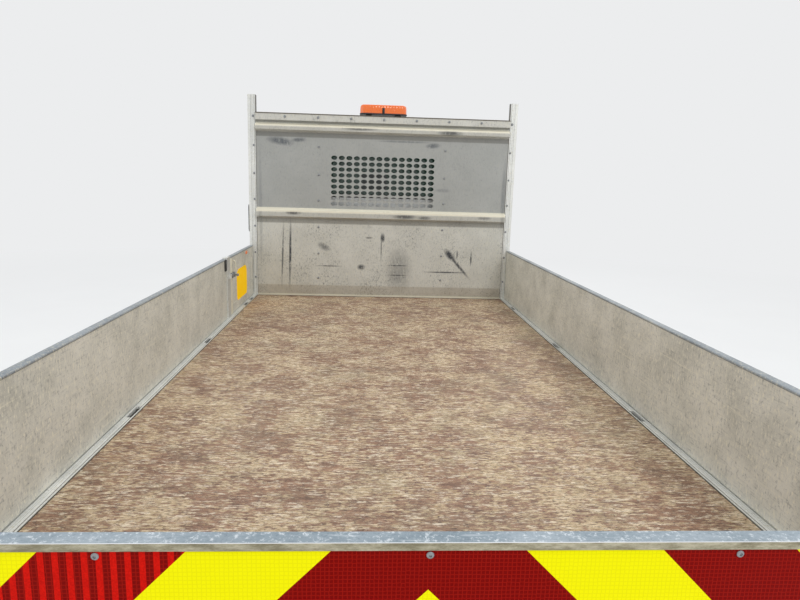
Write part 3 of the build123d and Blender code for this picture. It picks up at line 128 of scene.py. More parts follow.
def mirrored(shape):
    """The shape seen in a mirror across the truck: X changes sign, and the faces are listed backwards."""
    points, groups = shape
    return points * (-1, 1, 1), [faces[:, ::-1] for faces in groups]


def pair(shape):
    """A shape and its mirror on the other side of the truck."""
    return joined(shape, mirrored(shape))


def spun(shape, axis, degrees, centre):
    """The shape turned about an axis through a centre."""
    turn = np.array(Matrix.Rotation(math.radians(degrees), 3, axis))
    return (shape[0] - centre) @ turn.T + centre, shape[1]


# %% Outlines
def rounded(centre, size, radius, steps=5):
    """A rectangle with round corners: at each corner a quarter circle, about a point one radius in from both sides."""
    quarter = np.linspace(0, math.pi / 2, steps)
    signs = np.array([(1, 1), (-1, 1), (-1, -1), (1, -1)])
    angles = quarter + np.arange(4)[:, None] * math.pi / 2
    arcs = radius * np.stack([np.cos(angles), np.sin(angles)], -1)
    corners = signs * (np.array(size) / 2 - radius)
    return (arcs + corners[:, None]).reshape(-1, 2) + centre


def circle(centre, radius, sides=20):
    """Points at equal angles round a centre."""
    angles = np.arange(sides) * 2 * math.pi / sides
    return radius * np.stack([np.cos(angles), np.sin(angles)], -1) + centre


def inset(outline, distance):
    """An outline drawn in. Each corner moves by the sum of its sides' unit normals, times the distance, over one
    plus the normals' dot product, so that both sides move by the distance."""
    ahead = np.roll(outline, -1, 0) - outline
    ahead = ahead / np.linalg.norm(ahead, axis=1, keepdims=True)
    normal = np.stack([-ahead[:, 1], ahead[:, 0]], 1)
    before = np.roll(normal, 1, 0)
    share = 1 + np.sum(normal * before, axis=1, keepdims=True)
    following = np.roll(outline, -1, 0)
    area = np.sum(outline[:, 0] * following[:, 1] - outline[:, 1] * following[:, 0])
    return outline + np.sign(area) * distance * (normal + before) / share


# %% Plates, lathe work and pipes
def along(axis, reach, first, second):
    """Points with one coordinate on an axis and the two others, in X, Y, Z order."""
    order = {"X": (reach, first, second), "Y": (first, reach, second), "Z": (first, second, reach)}[axis]
    return np.stack(np.broadcast_arrays(*order), -1)


def plate(outline, span, axis, edge=0.0):
    """An outline carried along an axis. Near each end it is drawn in by the edge times one minus the sine of an
    angle, while it rises by the edge times one minus the cosine, which rounds the edge."""
    outline = np.asarray(outline, float)
    low, high = min(span), max(span)
    angles = np.radians([0, 35, 90] if edge else [90])
    draws, rises = edge * (1 - np.sin(angles)), edge * (1 - np.cos(angles))
    levels = [(low + rise, draw) for rise, draw in zip(rises, draws)]
    levels += [(high - rise, draw) for rise, draw in zip(rises[::-1], draws[::-1])]
    drawn = [(level, inset(outline, draw) if draw else outline) for level, draw in levels]
    return skinned([along(axis, level, ring[:, 0], ring[:, 1]) for level, ring in drawn])


def slab(centre, size, radius, span, axis, edge=0.0, steps=5):
    """A plate whose outline is a rectangle with round corners."""
    return plate(rounded(centre, size, radius, steps), span, axis, edge)


def lathe(profile, axis, centre=(0, 0, 0), sides=24, closed=False):
    """A profile of (along the axis, radius) turned about an axis: at each angle, a point lies at its radius times
    the angle's cosine and sine. The centre is given by all three coordinates. A closed profile makes a ring."""
    profile = np.asarray(profile, float)
    angles = np.arange(sides) * 2 * math.pi / sides
    reach = np.repeat(profile[:, :1], sides, 1)
    rings = along(axis, reach, profile[:, 1:] * np.cos(angles), profile[:, 1:] * np.sin(angles))
    return skinned(rings + centre, closed)


def curve_through(points, steps=8):
    """A smooth line through points: between two of them, the cubic whose slope at each is half the step from the
    point before it to the point after it."""
    points = np.asarray(points, float)
    ends = np.concatenate([2 * points[:1] - points[1:2], points, 2 * points[-1:] - points[-2:-1]])
    before, start, finish, after = ends[:-3, None], ends[1:-2, None], ends[2:-1, None], ends[3:, None]
    t = np.linspace(0, 1, steps, endpoint=False)[None, :, None]
    line = 0.5 * (
        2 * start
        + (finish - before) * t
        + (2 * before - 5 * start + 4 * finish - after) * t**2
        + (3 * start - before - 3 * finish + after) * t**3
    )
    return np.concatenate([line.reshape(-1, 3), points[-1:]])


def swept(path, section, up=(0, 0, 1), closed=False):
    """A section of (sideways, upwards) offsets carried along a path. Sideways is the path's direction crossed with
    up, which may change from point to point, and the section's own upwards is that crossed with the direction."""
    path = np.asarray(path, float)
    ahead = np.roll(path, -1, 0) - np.roll(path, 1, 0) if closed else np.gradient(path, axis=0)
    ahead /= np.linalg.norm(ahead, axis=1, keepdims=True)
    sideways = np.cross(ahead, np.asarray(up, float))
    sideways /= np.linalg.norm(sideways, axis=1, keepdims=True)
    upwards = np.cross(sideways, ahead)
    section = np.asarray(section, float)
    rings = path[:, None] + section[None, :, :1] * sideways[:, None] + section[None, :, 1:] * upwards[:, None]
    return skinned(rings, closed)


def bent(points, steps, section, up=(0, 0, 1)):
    """A section carried along a smooth curve through points."""
    return swept(curve_through(points, steps), section, up)


def framed(middle, size, radius, axis, reach, section, steps=5):
    """A bar of some section bent round a rectangle with round corners, at a reach along the axis it faces."""
    line = along(axis, reach, *rounded(middle, size, radius, steps).T)
    return swept(line, section, [float(name == axis) for name in "XYZ"], closed=True)


def put(name, shape, body, material, stands_for=(), sharp=35.0):
    """A piece made of a shape: its mesh is filled with whole arrays, its creases stay sharp above an angle."""
    points, groups = shape
    mesh = bpy.data.meshes.new(name)
    sizes = np.concatenate([np.full(len(faces), faces.shape[1]) for faces in groups])
    corners = np.concatenate([faces.ravel() for faces in groups])
    mesh.vertices.add(len(points))
    mesh.vertices.foreach_set("co", points.astype(np.float32).ravel())
    mesh.loops.add(len(corners))
    mesh.loops.foreach_set("vertex_index", corners.astype(np.int32))
    mesh.polygons.add(len(sizes))
    mesh.polygons.foreach_set("loop_start", np.concatenate([[0], np.cumsum(sizes)[:-1]]).astype(np.int32))
    mesh.update(calc_edges=True)
    mesh.shade_smooth()
    mesh.set_sharp_from_angle(angle=math.radians(sharp))
    mesh.materials.append(material)
    piece = bpy.data.objects.new(name, mesh)
    bpy.context.scene.collection.objects.link(piece)
    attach(piece, body)
    if stands_for:
        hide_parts(*stands_for)
    return piece


def on_doors(name, shape, material, sharp=35.0):
    """A piece on each door: the shape as it is on the right one, and its mirror image on the left one."""
    for hand, placed in (("right", shape), ("left", mirrored(shape))):
        put(f"{name}_{hand}", placed, f"door_{hand}", material, sharp=sharp)


def finish_nodes(material, *names):
    """Give CAD nodes a material."""
    for name in names:
        nodes[name].material_slots[0].material = material


# %% [markdown]
# ## Materials as nodes
# A finish could be one flat colour, but real surfaces vary: film wears through, metal dulls, dust settles low.
# Each material below starts from the real finish's name and making. Patterns are sized in millimetres on the
# Object coordinates, which are the truck's own, so a pattern stays on its piece from every side.

# %% Colours, nodes and pattern sizes
WAVE_TURN = 2 * math.pi / 20
NORMAL, OBJECT = 1, 3  # outputs of a Texture Coordinate node: which way a face looks, and where a point is
CAMERA_RAY, GLOSSY_RAY, TRANSMISSION_RAY = 0, 3, 6  # outputs of a Light Path node


def linear(code):
    """An sRGB hex colour as linear light: each channel over 1.055, after adding 0.055, to the power 2.4."""
    channels = np.array([int(code[i : i + 2], 16) for i in (1, 3, 5)]) / 255
    light = np.where(channels <= 0.04045, channels / 12.92, ((channels + 0.055) / 1.055) ** 2.4)
    return (*light.tolist(), 1.0)


def per(millimetres):
    """How many features of this size lie in one metre, which is a texture's Scale."""
    return 1000.0 / millimetres


def add(tree, kind, sockets, output=0, **settings):
    """A shader node with its settings. Its sockets, by name or number, take a value or another node's output."""
    node = tree.nodes.new("ShaderNode" + kind)
    for name, value in settings.items():
        setattr(node, name, value)
    usable = [socket for socket in node.inputs if socket.enabled]
    for key, value in sockets.items():
        socket = usable[key] if isinstance(key, int) else next(one for one in usable if one.name == key)
        if isinstance(value, bpy.types.NodeSocket):
            tree.links.new(value, socket)
        else:
            socket.default_value = value
    return [socket for socket in node.outputs if socket.enabled][output]


def mixed(tree, factor, first, second):
    """A colour between two, by a factor. Each of them is a hex colour or a node's output."""
    first, second = (linear(one) if isinstance(one, str) else one for one in (first, second))
    return add(tree, "Mix", {"Factor": factor, "A": first, "B": second}, data_type="RGBA")


def ranged(tree, value, low=0.0, high=1.0, bottom=0.0, top=1.0):
    """A value that runs from low to high, moved to run from bottom to top and held there beyond its ends."""
    return add(
        tree, "MapRange", {"Value": value, "From Min": low, "From Max": high, "To Min": bottom, "To Max": top})


def worked(tree, operation, *values):
    """One sum, such as MULTIPLY, on numbers and outputs."""
    return add(tree, "Math", dict(enumerate(values)), operation=operation)


def coordinate(tree, place, axis):
    """One coordinate of a place or a direction."""
    return add(tree, "SeparateXYZ", {"Vector": place}, "XYZ".index(axis))


def stretched(tree, place, scale):
    """A place multiplied axis by axis. A pattern drawn on it is longer where the number is under one."""
    return add(tree, "Mapping", {"Vector": place, "Scale": scale})


def noise(tree, place, millimetres, detail=2.0, rough=0.5, distortion=0.0):
    """Cloudy noise of a size in millimetres."""
    return add(
        tree, "TexNoise",
        {
            "Vector": place, "Scale": per(millimetres), "Detail": detail, "Roughness": rough,
            "Distortion": distortion})


def waves(tree, place, millimetres, direction, distortion=0.0):
    """Bands at a pitch in millimetres. Blender's wave turns 20 radians in a unit, so its scale is 2 pi over 20."""
    return add(tree, "TexWave", {
        "Vector": place, "Scale": per(millimetres) * WAVE_TURN, "Distortion": distortion},
        wave_type="BANDS", bands_direction=direction)


def bumped(tree, height, strength, distance):
    """Relief that stands up by a height's share of a distance."""
    return add(tree, "Bump", {"Height": height, "Strength": strength, "Distance": distance})


def begin(name, colour, roughness, metallic=0.0, **sockets):
    """A new material: its tree, its shader with uniform values set on its own sockets, and the place on the truck."""
    material = bpy.data.materials.new(name)
    material.use_nodes = True
    tree = material.node_tree
    shader = tree.nodes["Principled BSDF"]
    values = {"Base Color": linear(colour), "Roughness": roughness, "Metallic": metallic}
    values |= {key.replace("_", " "): value for key, value in sockets.items()}
    for key, value in values.items():
        shader.inputs[key].default_value = value
    return material, tree, shader, add(tree, "TexCoord", {}, OBJECT)


def reopened(material):
    """A finished material's tree, its shader and the output that gives its colour, for more to be laid over it."""
    shader = material.node_tree.nodes["Principled BSDF"]
    return material.node_tree, shader, shader.inputs["Base Color"].links[0].from_socket


def connect(tree, shader, **outputs):
    """Link outputs to the shader's sockets, whose spaces are written as underscores."""
    for key, output in outputs.items():
        tree.links.new(output, shader.inputs[key.replace("_", " ")])


# %% [markdown]
# ## The camera
# The photograph looks forward over the tailboard, a little downwards, from a standing person's eye. The camera
# could be aimed at a target, but its turn, tilt and roll are given as angles, because they were worked out from
# the bed's edges and can be checked one by one.

# %% Camera place, aim and lens
IMAGE_WIDTH = 800
FOCAL_PIXELS = 606.2
CAMERA_PLACE = (-0.105, -3.890, 1.834)
CAMERA_TURN, CAMERA_TILT, CAMERA_ROLL = 0.055, 0.1872, 0.029

aim = np.array((
    math.sin(CAMERA_TURN) * math.cos(CAMERA_TILT),
    math.cos(CAMERA_TURN) * math.cos(CAMERA_TILT),
    -math.sin(CAMERA_TILT),
))
level_right = np.array((math.cos(CAMERA_TURN), -math.sin(CAMERA_TURN), 0.0))
level_up = np.cross(level_right, aim)
camera_right = math.cos(CAMERA_ROLL) * level_right + math.sin(CAMERA_ROLL) * level_up
camera_up = math.cos(CAMERA_ROLL) * level_up - math.sin(CAMERA_ROLL) * level_right

lens = bpy.data.cameras.new("view_over_the_tailboard")
lens.lens = lens.sensor_width * FOCAL_PIXELS / IMAGE_WIDTH
lens.clip_start, lens.clip_end = 0.05, 200.0
camera = bpy.data.objects.new("view_over_the_tailboard", lens)
bpy.context.scene.collection.objects.link(camera)
turn = Matrix(np.stack([camera_right, camera_up, -aim], 1).tolist()).to_4x4()
camera.matrix_world = Matrix.Translation(CAMERA_PLACE) @ turn
bpy.context.scene.camera = camera
print("lens", round(lens.lens, 2), "mm")

# %% [markdown]
# ## A plain studio
# One wide floor, a pale sky of light and three large soft lamps. Small lamps would throw hard shadows and hide
# the finishes, so each lamp is metres across. The floor and the sky look the same pale grey to the camera.

# %% Sky, lamps and floor
SKY = "#ECEDEE"
world = bpy.data.worlds.new("pale_studio")
bpy.context.scene.world = world
world.use_nodes = True
sky = world.node_tree.nodes["Background"]
seen = add(world.node_tree, "LightPath", {}, CAMERA_RAY)
mirrored_ray = add(world.node_tree, "LightPath", {}, GLOSSY_RAY)
through_glass = add(world.node_tree, "LightPath", {}, TRANSMISSION_RAY)
shown = worked(world.node_tree, "MAXIMUM", seen, mirrored_ray)
shown = worked(world.node_tree, "MAXIMUM", shown, through_glass)
SKY_LIGHT = 1.00
sky.inputs["Color"].default_value = linear(SKY)
strength = ranged(world.node_tree, shown, bottom=SKY_LIGHT, top=1.0)
world.node_tree.links.new(strength, sky.inputs["Strength"])

LAMPS = [  # name, place, width, watts
    ("key_from_behind_right", (4.5, -6.5, 9.0), 4.0, 300.0),
    ("fill_from_left", (-9.0, -1.0, 6.0), 8.0, 80.0),
    ("front_lamp", (3.0, 10.0, 7.0), 9.0, 90.0),
]
for name, place, width, watts in LAMPS:
    light = bpy.data.lights.new(name, "AREA")
    light.shape, light.size, light.energy = "DISK", width, watts
    lamp = bpy.data.objects.new(name, light)
    lamp.location = place
    lamp.rotation_euler = (Vector((0, 0, 1)) - Vector(place)).to_track_quat("-Z", "Y").to_euler()
    bpy.context.scene.collection.objects.link(lamp)

floor_paint, tree, shader, place = begin("pale_painted_concrete", "#F1F2F2", 0.9)
patches = noise(tree, place, 900, 3.0)
connect(tree, shader, Base_Color=mixed(tree, patches, "#EFF0F0", "#F4F5F5"))
CLEAR_FROM, CLEAR_TO = 4.0, 14.0
away = add(tree, "VectorMath", {0: place}, operation="LENGTH")
far = ranged(tree, away, CLEAR_FROM, CLEAR_TO)
camera_ray = add(tree, "LightPath", {}, CAMERA_RAY)
blended = worked(tree, "MULTIPLY", far, camera_ray)
as_sky = add(tree, "Emission", {"Color": linear(SKY), "Strength": 1.0})
surface = add(tree, "MixShader", {0: blended, 1: shader.outputs["BSDF"], 2: as_sky})
tree.links.new(surface, tree.nodes["Material Output"].inputs["Surface"])
FLOOR_RADIUS = 60.0
floor_mesh = bpy.data.meshes.new("studio_floor")
rim_points = along("Z", 0.0, *circle((0, 0), FLOOR_RADIUS, 64).T)
floor_mesh.from_pydata(rim_points.tolist(), [], [list(range(len(rim_points)))])
floor_mesh.materials.append(floor_paint)
studio_floor = bpy.data.objects.new("studio_floor", floor_mesh)
bpy.context.scene.collection.objects.link(studio_floor)
bpy.context.scene.view_settings.view_transform = "Standard"

# %% [markdown]
# ## Weathered aluminium
# The dropsides, side rails and headboard are mill-finish aluminium that years of loads have dulled. New metal
# would be a bright mirror with a brushed grain. Old metal is a soft grey oxide with cloudy patches, lengthwise
# scuffs, dark specks and dirt near the floor. Noises at different sizes give it that.

# %% Aluminium of the bed
ACROSS_BED, LENGTHWISE, UPRIGHT = (0.2, 1, 1), (1, 0.12, 1), (1, 1, 0.15)
TICK_STRETCH = (1.0, 1.0, 0.4)


def weathered(name, colour, pale, dark, stretch, dirt_top, dirt="#6E5D45", metallic=0.25, scratch="#D5D1BE"):
    """Oxidised aluminium. Clouds of 160 mm mix a pale and a base tone, streaks of 6 mm lie along the stretch, specks
    of 11 mm are darker, ticks of 8 mm stand upright, dark or rubbed bright, long thin scratches are bright, and
    dirt fades out upwards from the floor to a height."""
    material, tree, shader, place = begin(name, colour, 0.5, metallic)
    clouds = noise(tree, place, 160, 5.0, 0.6)
    patches = ranged(tree, clouds, 0.30, 0.70)
    tone = mixed(tree, patches, pale, colour)
    drawn = stretched(tree, place, stretch)
    streaks = noise(tree, drawn, 6, 4.0, 0.7)
    streak = ranged(tree, streaks, 0.55, 0.76, top=0.50)
    tone = mixed(tree, streak, tone, dark)
    specks = noise(tree, place, 11, 6.0, 0.75)
    speck = ranged(tree, specks, 0.62, 0.69, top=0.65)
    tone = mixed(tree, speck, tone, dark)
    standing = stretched(tree, place, TICK_STRETCH)
    ticks = noise(tree, standing, 8, 4.0, 0.75, 0.4)
    tick = ranged(tree, ticks, 0.57, 0.66, top=0.5)
    tone = mixed(tree, tick, tone, dark)
    worn = ranged(tree, ticks, 0.46, 0.36, top=0.8)
    tone = mixed(tree, worn, tone, scratch)
    thin = stretched(tree, place, [side**1.6 for side in stretch])
    lines = noise(tree, thin, 7, 2.0, distortion=0.3)
    line = ranged(tree, lines, 0.62, 0.70, top=0.55)
    line = worked(tree, "MULTIPLY", line, clouds)
    tone = mixed(tree, line, tone, scratch)
    height = coordinate(tree, place, "Z")
    low = ranged(tree, height, dirt_top, dirt_top - 0.16, top=0.7)
    settled = worked(tree, "MULTIPLY", low, clouds)
    tone = mixed(tree, settled, tone, dirt)
    dull = ranged(tree, clouds, bottom=0.42, top=0.66)
    dents = bumped(tree, specks, 0.25, 0.001)
    connect(tree, shader, Base_Color=tone, Roughness=dull, Normal=dents)
    return material


DECK_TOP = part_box("floor_deck")[1].z
side_aluminium = weathered(
    "weathered_aluminium_plank", "#C6C5BB", "#E8E7DE", "#63666A", LENGTHWISE, DECK_TOP + 0.01, dirt="#8E8468",
    scratch="#F2EEDC")
SHADE_LINES = [  # painted shade lines along the grooves: across, half width in metres, share
    (0.9902, 0.0014, 0.92),
    (0.9995, 0.0013, 0.85),
    (1.0115, 0.0009, 0.35),
    (1.0175, 0.0009, 0.30),
    (1.0272, 0.0012, 0.60),
]
rail_aluminium = weathered(
    "weathered_aluminium_rail", "#DDDFDC", "#F2F3EF", "#A3A29A", LENGTHWISE, DECK_TOP - 0.02, dirt="#9A9078")
finish_nodes(side_aluminium, "dropside_left", "dropside_right", "access_gate")
tree, shader, tone = reopened(rail_aluminium)
across = coordinate(tree, add(tree, "TexCoord", {}, OBJECT), "X")
across = worked(tree, "ABSOLUTE", across)
# Each groove gets a dark line of painted shade.
for line_across, half, share in SHADE_LINES:
    painted_line_shade = worked(tree, "COMPARE", across, line_across, half)
    painted_line_shade = worked(tree, "MULTIPLY", painted_line_shade, share)
    tone = mixed(tree, painted_line_shade, tone, "#4E4A42")
connect(tree, shader, Base_Color=tone)
finish_nodes(rail_aluminium, "side_rails", "body_posts")

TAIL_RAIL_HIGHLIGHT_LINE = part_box("tailboard")[1].y - 0.030
# The rail's blue-grey tones are a painted reflection of the sky on its top faces.
tail_rail_with_painted_light = weathered(
    "tail_rail_metal_with_painted_light", "#86959F", "#A6B2BB", "#6B7883", ACROSS_BED, DECK_TOP - 0.02,
    scratch="#DCE3E8")
tree, shader, tone = reopened(tail_rail_with_painted_light)
upright = coordinate(tree, add(tree, "TexCoord", {}, NORMAL), "Z")
sidewall = ranged(tree, upright, 0.7, 0.3)
place = add(tree, "TexCoord", {}, OBJECT)
rubs = noise(tree, stretched(tree, place, (0.25, 1.0, 1.0)), 14, 7.0, 0.8)
rubbing = ranged(tree, rubs, 0.40, 0.60)
# Rear faces get a darker olive tone, painted shade, and inner faces a lighter lit tone.
rear_face_painted_shade = mixed(tree, rubbing, "#837C63", "#BDB69E")
inner_face_lit_tone = mixed(tree, rubbing, "#9E9C90", "#D6D4C9")
facing = coordinate(tree, add(tree, "TexCoord", {}, NORMAL), "Y")
inner = ranged(tree, facing, 0.3, 0.7)
upright_faces_lit_and_shaded = mixed(tree, inner, rear_face_painted_shade, inner_face_lit_tone)
tone = mixed(tree, sidewall, tone, upright_faces_lit_and_shaded)
# Towards the rear edge the top turns sky white: a painted highlight of the rounded edge.
back = coordinate(tree, add(tree, "TexCoord", {}, OBJECT), "Y")
edge = ranged(tree, back, TAIL_RAIL_HIGHLIGHT_LINE + 0.0024, TAIL_RAIL_HIGHLIGHT_LINE + 0.0012)
rubbed = worked(tree, "MULTIPLY", edge, upright)
tone = mixed(tree, rubbed, tone, "#ECEDEE")
connect(tree, shader, Base_Color=tone)
finish_nodes(tail_rail_with_painted_light, "tailboard")
# The printed edge is where that painted highlight on the rail's top begins.
print("tail rail's worn edge at", round(TAIL_RAIL_HIGHLIGHT_LINE, 4), "m")

# %% [markdown]
# ## The headboard's sheet
# The headboard is a folded aluminium sheet with a thin pale lacquer. Loads have slid down it and left grey
# rubber scuffs, thin dark runs and brown dirt at its foot. The cloudy aluminium recipe gives the sheet. Each
# scuff is a soft ellipse of finer noise at its own place, because such marks are where the loads touched.
# Bands across it are painted light and shade: shadows under the ribs and the top band, lit rib tops.

# %% Scuffed headboard lacquer
headboard_lacquer = weathered(
    "scuffed_headboard_lacquer_with_painted_light", "#C4C3BB", "#D4D3CB", "#83827B", UPRIGHT, DECK_TOP + 0.10, metallic=0.1)

SCUFFS = [  # across and above the floor in metres, half width, half height, lean in degrees, strength
    (-0.80, 1.215, 0.110, 0.032, 8, 1.0),
    (-0.66, 1.228, 0.060, 0.018, -4, 0.9),
    (0.39, 1.214, 0.060, 0.022, -6, 0.9),
    (0.16, 1.238, 0.240, 0.010, 0, 0.6),
    (-0.79, 0.330, 0.008, 0.270, 2, 0.8),
    (-0.73, 0.340, 0.011, 0.290, 1, 1.0),
    (-0.70, 0.668, 0.070, 0.020, 0, 0.9),
    (0.18, 0.655, 0.100, 0.020, 0, 0.9),
    (0.34, 0.650, 0.060, 0.016, 0, 0.8),
    (0.82, 0.660, 0.060, 0.016, 0, 0.6),
    (-0.18, 1.322, 0.150, 0.014, 0, 0.8),
    (0.52, 1.312, 0.110, 0.020, 0, 0.9),
    (0.01, 0.480, 0.020, 0.040, 0, 1.0),
    (0.00, 0.400, 0.006, 0.130, 0, 0.7),
    (0.560, 0.352, 0.030, 0.070, -42, 1.0),
    (0.640, 0.260, 0.014, 0.130, -42, 0.9),
    (-0.16, 0.240, 0.034, 0.026, 0, 0.9),
    (-0.42, 0.245, 0.110, 0.006, 0, 0.8),
    (-0.46, 0.400, 0.060, 0.030, 30, 0.6),
    (0.53, 0.212, 0.190, 0.007, 0, 0.9),
    (0.15, 0.220, 0.110, 0.190, 0, 0.45),
    (0.13, 0.260, 0.090, 0.006, 0, 0.8),
    (0.13, 0.180, 0.090, 0.005, 0, 0.8),
    (0.62, 0.360, 0.006, 0.040, 0, 0.9),
    (0.735, 0.330, 0.008, 0.065, 0, 0.9),
    (-0.10, 0.480, 0.030, 0.010, 0, 0.7),
    (0.48, 0.870, 0.070, 0.018, 0, 0.4),
    (0.97, 0.820, 0.020, 0.300, 0, 0.5),
    (-0.96, 0.700, 0.016, 0.500, 0, 0.3),
]
EDGE_FADE = 0.008
PAINTED_LIGHT_AND_DIRT_BANDS = [  # from and to above the floor in metres, share and colour
    # painted shade over the upper sheet and in the strip under the top band
    (0.700, 1.286, 0.56, "#7B8083"),
    (1.349, 1.374, 0.50, "#5E615F"),
    # the upper rib: painted shade on its face, and its painted shadow on the sheet below
    (1.290, 1.326, 0.25, "#807E74"),
    (1.244, 1.292, 0.55, "#56544C"),
    # the lower rib: painted shade on its face, and its painted shadow on the sheet below
    (0.628, 0.672, 0.25, "#807E74"),
    (0.580, 0.628, 0.55, "#56544C"),
    # painted highlights on both ribs' lit tops
    (0.668, 0.706, 0.80, "#F4EED8"),
    (1.322, 1.352, 0.80, "#F4EED8"),
    # brown dirt at the foot, and a painted highlight along the foot's edge
    (0.000, 0.090, 0.30, "#86704C"),
    (0.000, 0.016, 0.70, "#E4DEC8"),
]
SPECK_TOP = 0.560
tree, shader, tone = reopened(headboard_lacquer)
place = add(tree, "TexCoord", {}, OBJECT)
scratch = noise(tree, stretched(tree, place, (1, 1, 0.35)), 11, 6.0, 0.8)
broken = ranged(tree, scratch, 0.34, 0.48)
for across, up, half_width, half_height, lean, strength in SCUFFS:
    centred = add(tree, "Mapping", {
        "Vector": place, "Location": (across, 0.0, DECK_TOP + up), "Rotation": (0.0, math.radians(lean), 0.0),
        "Scale": (half_width, 100.0, half_height)}, vector_type="TEXTURE")
    reach = add(tree, "VectorMath", {0: centred}, operation="LENGTH")
    mark = ranged(tree, reach, 1.1, 0.4, top=strength)
    mark = worked(tree, "MULTIPLY", mark, broken)
    tone = mixed(tree, mark, tone, "#34383E")
place_up = coordinate(tree, place, "Z")
spatter = noise(tree, stretched(tree, place, (1, 1, 0.6)), 12, 7.0, 0.85)
gathered = noise(tree, place, 230, 3.0)
reaching = ranged(tree, gathered, 0.3, 0.7, bottom=0.63, top=0.52)
spot = worked(tree, "SUBTRACT", spatter, reaching)
spot = ranged(tree, spot, 0.0, 0.05, top=0.65)
lower = ranged(tree, place_up, DECK_TOP + SPECK_TOP + 0.1, DECK_TOP + SPECK_TOP, bottom=0.35)
spot = worked(tree, "MULTIPLY", spot, lower)
tone = mixed(tree, spot, tone, "#4C5156")
# Each band lays painted shade, painted highlight or dirt across the sheet.
for low, high, share, grey in PAINTED_LIGHT_AND_DIRT_BANDS:
    rising = ranged(tree, place_up, DECK_TOP + low, DECK_TOP + low + EDGE_FADE)
    falling = ranged(tree, place_up, DECK_TOP + high, DECK_TOP + high - EDGE_FADE)
    within = worked(tree, "MULTIPLY", rising, falling)
    shaded = worked(tree, "MULTIPLY", within, share)
    tone = mixed(tree, shaded, tone, grey)
connect(tree, shader, Base_Color=tone)
finish_nodes(headboard_lacquer, "headboard")
print(len(SCUFFS), "scuffs on the headboard")

# %% [markdown]
# ## Worn plywood
# The floor is birch plywood under a phenolic film. Shovels and pallets have broken the mauve-brown film into
# streaks across the bed, and the pale wood shows through with grey water stains. It is darker towards the
# tailboard. The picture could be painted, but layers of noise, most of them drawn out across the bed,
# wear the film through in a believable way.

# %% Phenolic film worn to the wood
STREAK_MM, PATCH_MM = 9.0, 170.0
DARKER_FROM, DARKER_TO = -1.9, -2.7
ACROSS_GRAIN = (0.30, 1.0, 1.0)
deck_film, tree, shader, place = begin("worn_phenolic_film", "#8C7062", 0.6)
across_bed = stretched(tree, place, ACROSS_GRAIN)
grain = noise(tree, across_bed, STREAK_MM, 6.0, 0.7)
patch = noise(tree, place, PATCH_MM, 9.0, 0.7)
wear = worked(tree, "ADD", grain, worked(tree, "MULTIPLY", patch, 0.8))
worn = ranged(tree, wear, 0.86, 0.97)
cloud = noise(tree, across_bed, 26, 8.0, 0.8)
cloud = ranged(tree, cloud, 0.34, 0.66)
film_tone = mixed(tree, cloud, "#68493A", "#B38B6E")
wood_grain = noise(tree, stretched(tree, place, (0.22, 1.0, 1.0)), 7, 6.0, 0.8)
wood = ranged(tree, wood_grain, 0.38, 0.62)
wood = mixed(tree, wood, "#AC9069", "#EEDABA")
tone = mixed(tree, worn, film_tone, wood)
stain = noise(tree, place, 260, 9.0, 0.7)
stained = ranged(tree, stain, 0.50, 0.66, top=0.35)
tone = mixed(tree, stained, tone, "#8A8168")
pits = noise(tree, across_bed, 5, 5.0, 0.8)
pitted = ranged(tree, pits, 0.52, 0.60, top=0.9)
tone = mixed(tree, pitted, tone, "#463630")
shifted = add(tree, "Mapping", {"Vector": place, "Scale": (0.25, 1.0, 1.0), "Location": (0.3, 0.7, 0.0)})
chips = noise(tree, shifted, 11, 6.0, 0.85, 0.3)
chipped = ranged(tree, chips, 0.54, 0.60, top=0.8)
tone = mixed(tree, chipped, tone, "#F6E8D0")
along_bed = coordinate(tree, place, "Y")
# darker towards the tailboard
darker_near_tail = ranged(tree, along_bed, DARKER_FROM, DARKER_TO, top=0.14)
tone = mixed(tree, darker_near_tail, tone, "#6A5240")
rough = ranged(tree, worn, bottom=0.48, top=0.8)
relief = bumped(tree, wear, 0.5, 0.0015)
connect(tree, shader, Base_Color=tone, Roughness=rough, Normal=relief)
finish_nodes(deck_film, "floor_deck")
print("floor top at", round(DECK_TOP, 3), "m")

# %% [markdown]
# ## The chevron board
# The board on the tailboard is sheet aluminium with prismatic film: fluorescent yellow and deep red bands that
# lean outwards on both halves and meet in the middle. Cut strips of film would be hundreds of thin pieces. A
# band is chosen by one number instead: the distance from the middle, less the fall from the top times the lean.
# Bright red bars with a fine sparkle on the left half are painted glints of the film.

# %% Prismatic chevron film
CHEVRON_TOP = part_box("chevron_board")[1].z
BAND_WIDTH = 0.2045
BAND_LEAN = 0.99
FIRST_EDGE = 0.141
MIDDLE_X = -0.008
CELL_MM = 6.5
GLINT_BAR_PITCH_MM = 20.0
LEFT_GLINT_BARS_END = -0.22
chevron_film, tree, shader, place = begin("prismatic_chevron_film", "#EDE800", 0.42, Specular_IOR_Level=0.05)
apart = coordinate(tree, place, "X")
height = coordinate(tree, place, "Z")
off_middle = worked(tree, "SUBTRACT", apart, MIDDLE_X)
distance = worked(tree, "ABSOLUTE", off_middle)
fall = worked(tree, "SUBTRACT", CHEVRON_TOP, height)
leaning = worked(tree, "MULTIPLY", fall, BAND_LEAN)
band = worked(tree, "SUBTRACT", distance, leaning)
counted = worked(tree, "SUBTRACT", band, FIRST_EDGE - BAND_WIDTH)
turns = worked(tree, "DIVIDE", counted, 2 * BAND_WIDTH)
share = worked(tree, "FRACT", turns)
positive = worked(tree, "ADD", share, 1.0)
positive = worked(tree, "FRACT", positive)
is_yellow = worked(tree, "GREATER_THAN", positive, 0.5)
cells = add(tree, "TexVoronoi", {
    "Vector": stretched(tree, place, (1.0, 0.0, 1.0)),
    "Scale": per(CELL_MM), "Randomness": 0.15}, feature="DISTANCE_TO_EDGE")
